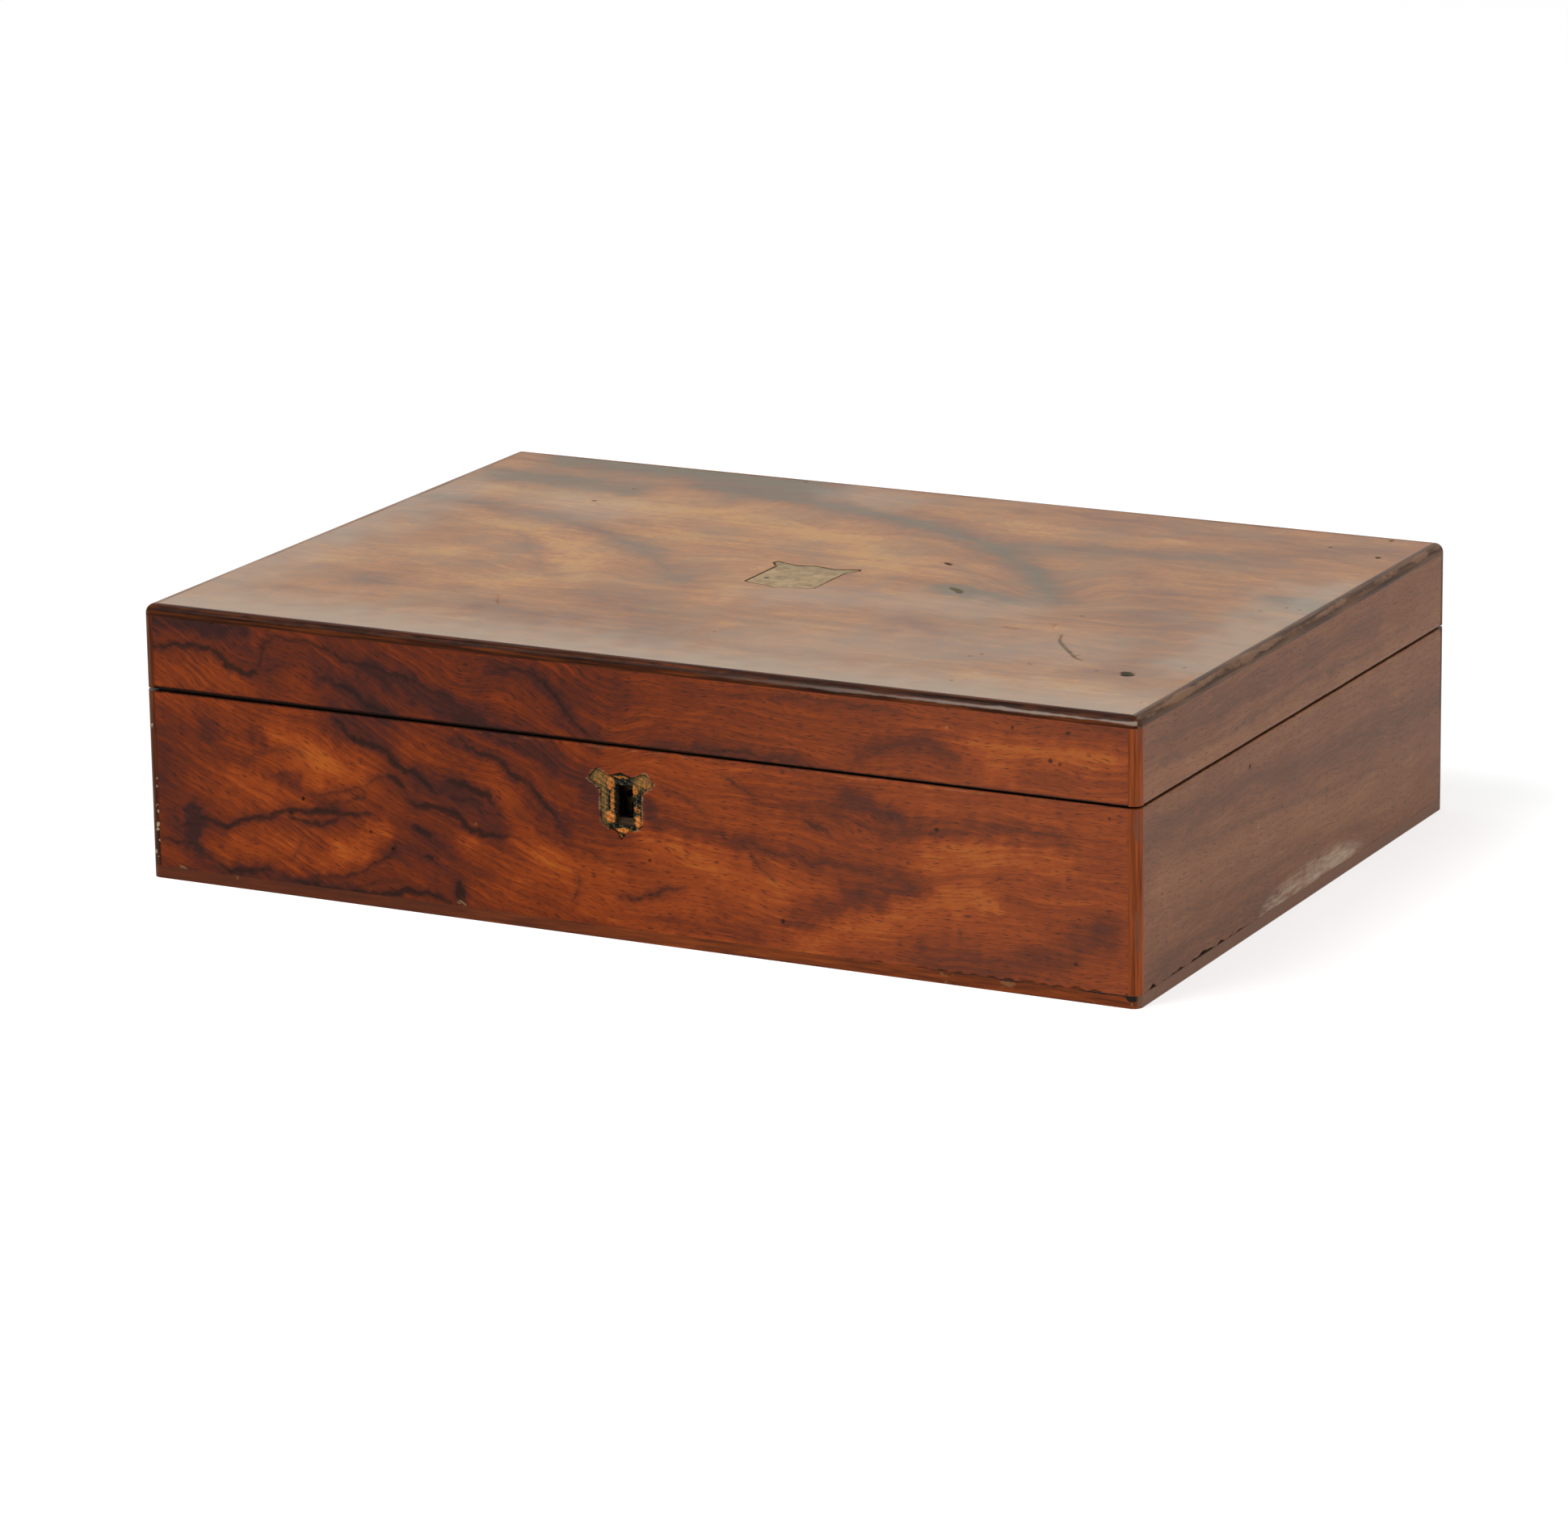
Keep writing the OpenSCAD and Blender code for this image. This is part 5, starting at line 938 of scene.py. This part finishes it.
def bed_relief(u, v):
    """Depth of the bed below the front: 0.62 mm, with splinters up to 0.35 mm higher and a 1 mm ripple; thin at its outer rim."""
    return np.clip(0.66 - 0.3 * np.clip(torn_field(u, v), 0, 1) + 0.12 * ripple(u, v, 1.1, 63), 0.2, 0.92)


slot_edge = np.array([(-3.5, 37.1), (2.7, 37.1), (2.7, 50.3), (-3.5, 50.3)])
bed_edge = shield(14.8, 22.5, 4.4, 0.236, 0.32, 0.3, 0.16, -0.125) + (-1.4, 55.2)
# Everything but the bed: a frame round it, joined to its outline by one short line.
frame_edge = np.array([(-1.4, 57), (12, 57), (12, 31), (-14.5, 31), (-14.5, 57), (-1.4, 57)])
off_bed = np.vstack([frame_edge, bed_edge, bed_edge[:1]])
bed, u, v = sheet("keyhole_torn_bed", ((-14, 11.5), (31.5, 56)), 0.2, front_place, bed_relief, (off_bed, slot_edge))
store(bed, torn=torn_field(u, v))

torn_bed, tree, output = start_material("torn_wood_glue_verdigris")
place = add(tree, "TexCoord").outputs["Object"]
torn = add(tree, "Attribute", attribute_name="torn").outputs["Fac"]
# Splinters 0.3 mm wide and 2 mm long, and crumbs of glue 0.4 mm wide.
splinter = add(tree, "Mapping", {"Vector": place, "Scale": (700, 700, 2600)})
splinter = add(tree, "TexNoise", {"Vector": splinter.outputs[0], "Scale": 1.0, "Detail": 4.0, "Roughness": 0.7})
crumb = add(tree, "TexNoise", {"Vector": place, "Scale": 1900.0, "Detail": 3.0, "Roughness": 0.7})
level = add(tree, "Math", {0: splinter.outputs[0], 1: 0.5, 2: torn}, operation="MULTIPLY_ADD")
level = add(tree, "Math", {0: crumb.outputs[0], 1: 0.9, 2: level.outputs[0]}, operation="MULTIPLY_ADD")
bed_colour = add(tree, "ValToRGB", {"Fac": add(tree, "MapRange", {"Value": level.outputs[0], "From Min": 0.45,
                                                                  "From Max": 1.9}).outputs[0]})
set_ramp(bed_colour, ((0.0, "#141818"), (0.2, "#2c2f29"), (0.33, "#5a5034"), (0.47, "#947240"), (0.6, "#cc6c26"), (0.78, "#e07f30"), (0.95, "#eea45e")))
# The ears and the left flank are tan and olive rather than orange.
split = add(tree, "SeparateXYZ", {"Vector": place})
high = add(tree, "MapRange", {"Value": split.outputs["Z"], "From Min": 0.0475, "From Max": 0.0515, "To Max": 0.75})
flank = add(tree, "MapRange", {"Value": split.outputs["X"], "From Min": -0.0058, "From Max": -0.0072, "To Max": 0.8})
ear = add(tree, "Math", {0: split.outputs["X"], 1: 0.0014}, operation="ADD")
ear = add(tree, "Math", {0: ear.outputs[0]}, operation="ABSOLUTE")
ear = add(tree, "MapRange", {"Value": ear.outputs[0], "From Min": 0.003, "From Max": 0.0048})
high = add(tree, "Math", {0: high.outputs[0], 1: ear.outputs[0]}, operation="MULTIPLY")
olive = add(tree, "Math", {0: high.outputs[0], 1: flank.outputs[0]}, operation="MAXIMUM")
olive = add(tree, "Math", {0: olive.outputs[0], 1: splinter.outputs[0]}, operation="MULTIPLY")
olive = add(tree, "Math", {0: olive.outputs[0], 1: 1.35}, operation="MULTIPLY", use_clamp=True)
bed_colour = add(tree, "MixRGB", {"Fac": olive.outputs[0], "Color1": bed_colour.outputs[0], "Color2": linear("#8f7547")})
bump = add(tree, "Bump", {"Height": level.outputs[0], "Strength": 0.7, "Distance": 0.0004})
shader = add(tree, "BsdfPrincipled", {"Base Color": bed_colour.outputs[0], "Roughness": 0.7, "Specular IOR Level": 0.05,
                                      "Normal": bump.outputs[0]})
tree.links.new(shader.outputs[0], output.inputs["Surface"])
bed.data.materials.append(torn_bed)
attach(bed, "base")
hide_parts("escutcheon_remains")

# --- The name plate ---------------------------------------------------------
# A plain shield of sheet brass let into the top and held by one pin, of which
# the hole is left. It was never engraved; the lacquer has gone and it has
# tarnished to olive, with verdigris along its top edge.
tarnished, tree, output = start_material("brass_plate_tarnished_olive")
place = add(tree, "TexCoord").outputs["Object"]
cloud = add(tree, "TexNoise", {"Vector": place, "Scale": 260.0, "Detail": 5.0, "Roughness": 0.65})
rubbed = add(tree, "Mapping", {"Vector": place, "Scale": (500, 3200, 1)})
rubbed = add(tree, "TexNoise", {"Vector": rubbed.outputs[0], "Scale": 1.0, "Detail": 3.0})
split = add(tree, "SeparateXYZ", {"Vector": place})
tarnish = add(tree, "ValToRGB", {"Fac": cloud.outputs[0]})
set_ramp(tarnish, ((0.3, "#7a6343"), (0.5, "#a1855c"), (0.7, "#b99c70")))
high = add(tree, "Math", {0: cloud.outputs[0], 1: 0.022, 2: split.outputs["Y"]}, operation="MULTIPLY_ADD")
green = add(tree, "MapRange", {"Value": high.outputs[0], "From Min": 0.0125, "From Max": 0.021, "To Max": 0.35})
colour = add(tree, "MixRGB", {"Fac": green.outputs[0], "Color1": tarnish.outputs[0], "Color2": linear("#4f5a39")})
scratch = add(tree, "MapRange", {"Value": rubbed.outputs[0], "From Min": 0.62, "From Max": 0.7, "To Max": 0.4})
colour = add(tree, "MixRGB", {"Fac": scratch.outputs[0], "Color1": colour.outputs[0], "Color2": linear("#c9ab74")})
# The pin's hole is a dark disc about 2 mm across: painted shade.
pin = add(tree, "VectorMath", {0: place, 1: (-0.0078, -0.0119, 0.09085)}, operation="DISTANCE").outputs["Value"]
pin = add(tree, "MapRange", {"Value": pin, "From Min": 0.0012, "From Max": 0.0008})
colour = add(tree, "MixRGB", {"Fac": pin.outputs[0], "Color1": colour.outputs[0], "Color2": linear("#17110a")})
bump = add(tree, "Bump", {"Height": cloud.outputs[0], "Strength": 0.3, "Distance": 0.0003})
shader = add(tree, "BsdfPrincipled", {"Base Color": colour.outputs[0], "Metallic": 0.35, "Roughness": 0.5,
                                      "Specular IOR Level": 0.28, "Normal": bump.outputs[0]})
tree.links.new(shader.outputs[0], output.inputs["Surface"])
nodes["name_plate"].data.materials.clear()
nodes["name_plate"].data.materials.append(tarnished)

# --- The lining -------------------------------------------------------------
# Dull red surface paper pasted over the pine inside, faded and foxed. It can't
# be seen in the photograph; it is the usual lining of such a box.
red_paper, tree, output = start_material("surface_paper_dull_red")
place = add(tree, "TexCoord").outputs["Object"]
fibre = add(tree, "TexNoise", {"Vector": place, "Scale": 1400.0, "Detail": 3.0, "Roughness": 0.7})
stain = add(tree, "TexNoise", {"Vector": place, "Scale": 22.0, "Detail": 4.0, "Roughness": 0.6})
level = add(tree, "Math", {0: fibre.outputs[0], 1: 0.3, 2: stain.outputs[0]}, operation="MULTIPLY_ADD")
faded = add(tree, "ValToRGB", {"Fac": level.outputs[0]})
set_ramp(faded, ((0.4, "#4a211a"), (0.62, "#663025"), (0.85, "#7d4535")))
foxing = add(tree, "TexVoronoi", {"Vector": place, "Scale": 48.0})
foxing = add(tree, "MapRange", {"Value": foxing.outputs["Distance"], "From Min": 0.1, "From Max": 0.05, "To Max": 0.5})
colour = add(tree, "MixRGB", {"Fac": foxing.outputs[0], "Color1": faded.outputs[0], "Color2": linear("#35160f")})
bump = add(tree, "Bump", {"Height": fibre.outputs[0], "Strength": 0.25, "Distance": 0.0002})
shader = add(tree, "BsdfPrincipled", {"Base Color": colour.outputs[0], "Roughness": 0.85, "Specular IOR Level": 0.15,
                                      "Normal": bump.outputs[0]})
tree.links.new(shader.outputs[0], output.inputs["Surface"])
for name in ("base_floor_lining", "base_wall_lining", "lid_ceiling_lining", "lid_wall_lining"):
    nodes[name].data.materials.clear()
    nodes[name].data.materials.append(red_paper)

# --- The lock, hinges, screws and nails -------------------------------------
# Cast and sheet brass for the lock and hinges, steel for their screws, pins and
# the nails. All of it is dulled; the lock's cap is painted near black behind the keyhole, as painted shade.


def old_metal(name, stops, metallic, rough, grime, scale=180.0, gloss=0.5):
    """Dull worn metal on Object coordinates: blotches of tarnish about 5 mm wide, drawn file marks 0.3 mm apart, and `grime` in the hollows of the noise."""
    made, tree, output = start_material(name)
    place = add(tree, "TexCoord").outputs["Object"]
    cloud = add(tree, "TexNoise", {"Vector": place, "Scale": scale, "Detail": 5.0, "Roughness": 0.62})
    filed = add(tree, "Mapping", {"Vector": place, "Scale": (300, 3000, 3000)})
    filed = add(tree, "TexNoise", {"Vector": filed.outputs[0], "Scale": 1.0, "Detail": 2.0})
    tone = add(tree, "ValToRGB", {"Fac": cloud.outputs[0]})
    set_ramp(tone, stops)
    dull = add(tree, "MapRange", {"Value": cloud.outputs[0], "From Min": 0.3, "From Max": 0.7,
                                  "To Min": rough + 0.12, "To Max": rough - 0.08})
    dirt = add(tree, "MapRange", {"Value": filed.outputs[0], "From Min": 0.42, "From Max": 0.3, "To Max": grime})
    colour = add(tree, "MixRGB", {"Fac": dirt.outputs[0], "Color1": tone.outputs[0], "Color2": linear("#1c150c")})
    bump = add(tree, "Bump", {"Height": filed.outputs[0], "Strength": 0.15, "Distance": 0.0001})
    shader = add(tree, "BsdfPrincipled", {"Base Color": colour.outputs[0], "Metallic": metallic,
                                          "Roughness": dull.outputs[0], "Specular IOR Level": gloss,
                                          "Normal": bump.outputs[0]})
    tree.links.new(shader.outputs[0], output.inputs["Surface"])
    return made


brass = old_metal("brass_cast_aged", ((0.3, "#6f5326"), (0.5, "#a5813f"), (0.7, "#c09a55")), 1.0, 0.38, 0.6)
steel = old_metal("steel_screws_dulled", ((0.3, "#3a302a"), (0.5, "#6b6660"), (0.7, "#8b8781")), 1.0, 0.4, 0.7, 500.0)
# Near black, matt and dull: painted shade on the lock's cap behind the keyhole.
cap_painted_shade = old_metal("lock_cap_painted_shade", ((0.3, "#030202"), (0.6, "#080605"), (0.8, "#0e0b08")), 0.0, 0.85, 0.0, gloss=0.0)
# The front of the lock case, seen through the gap, is darkened as painted shade.
darken_rims(brass, -0.1205)
for names, finish in ((("lock_case", "lock_bolt", "link_plate", "hinge_left_base_leaf", "hinge_right_base_leaf",
                        "hinge_left_lid_leaf", "hinge_right_lid_leaf"), brass),
                      (("lock_screws", "lock_spring", "hinge_left_pin", "hinge_right_pin", "hinge_base_screws",
                        "hinge_lid_screws", "link_plate_screws", "bottom_nails"), steel),
                      (("lock_cap", "lock_key_pin"), cap_painted_shade)):
    for name in names:
        nodes[name].data.materials.clear()
        nodes[name].data.materials.append(finish)
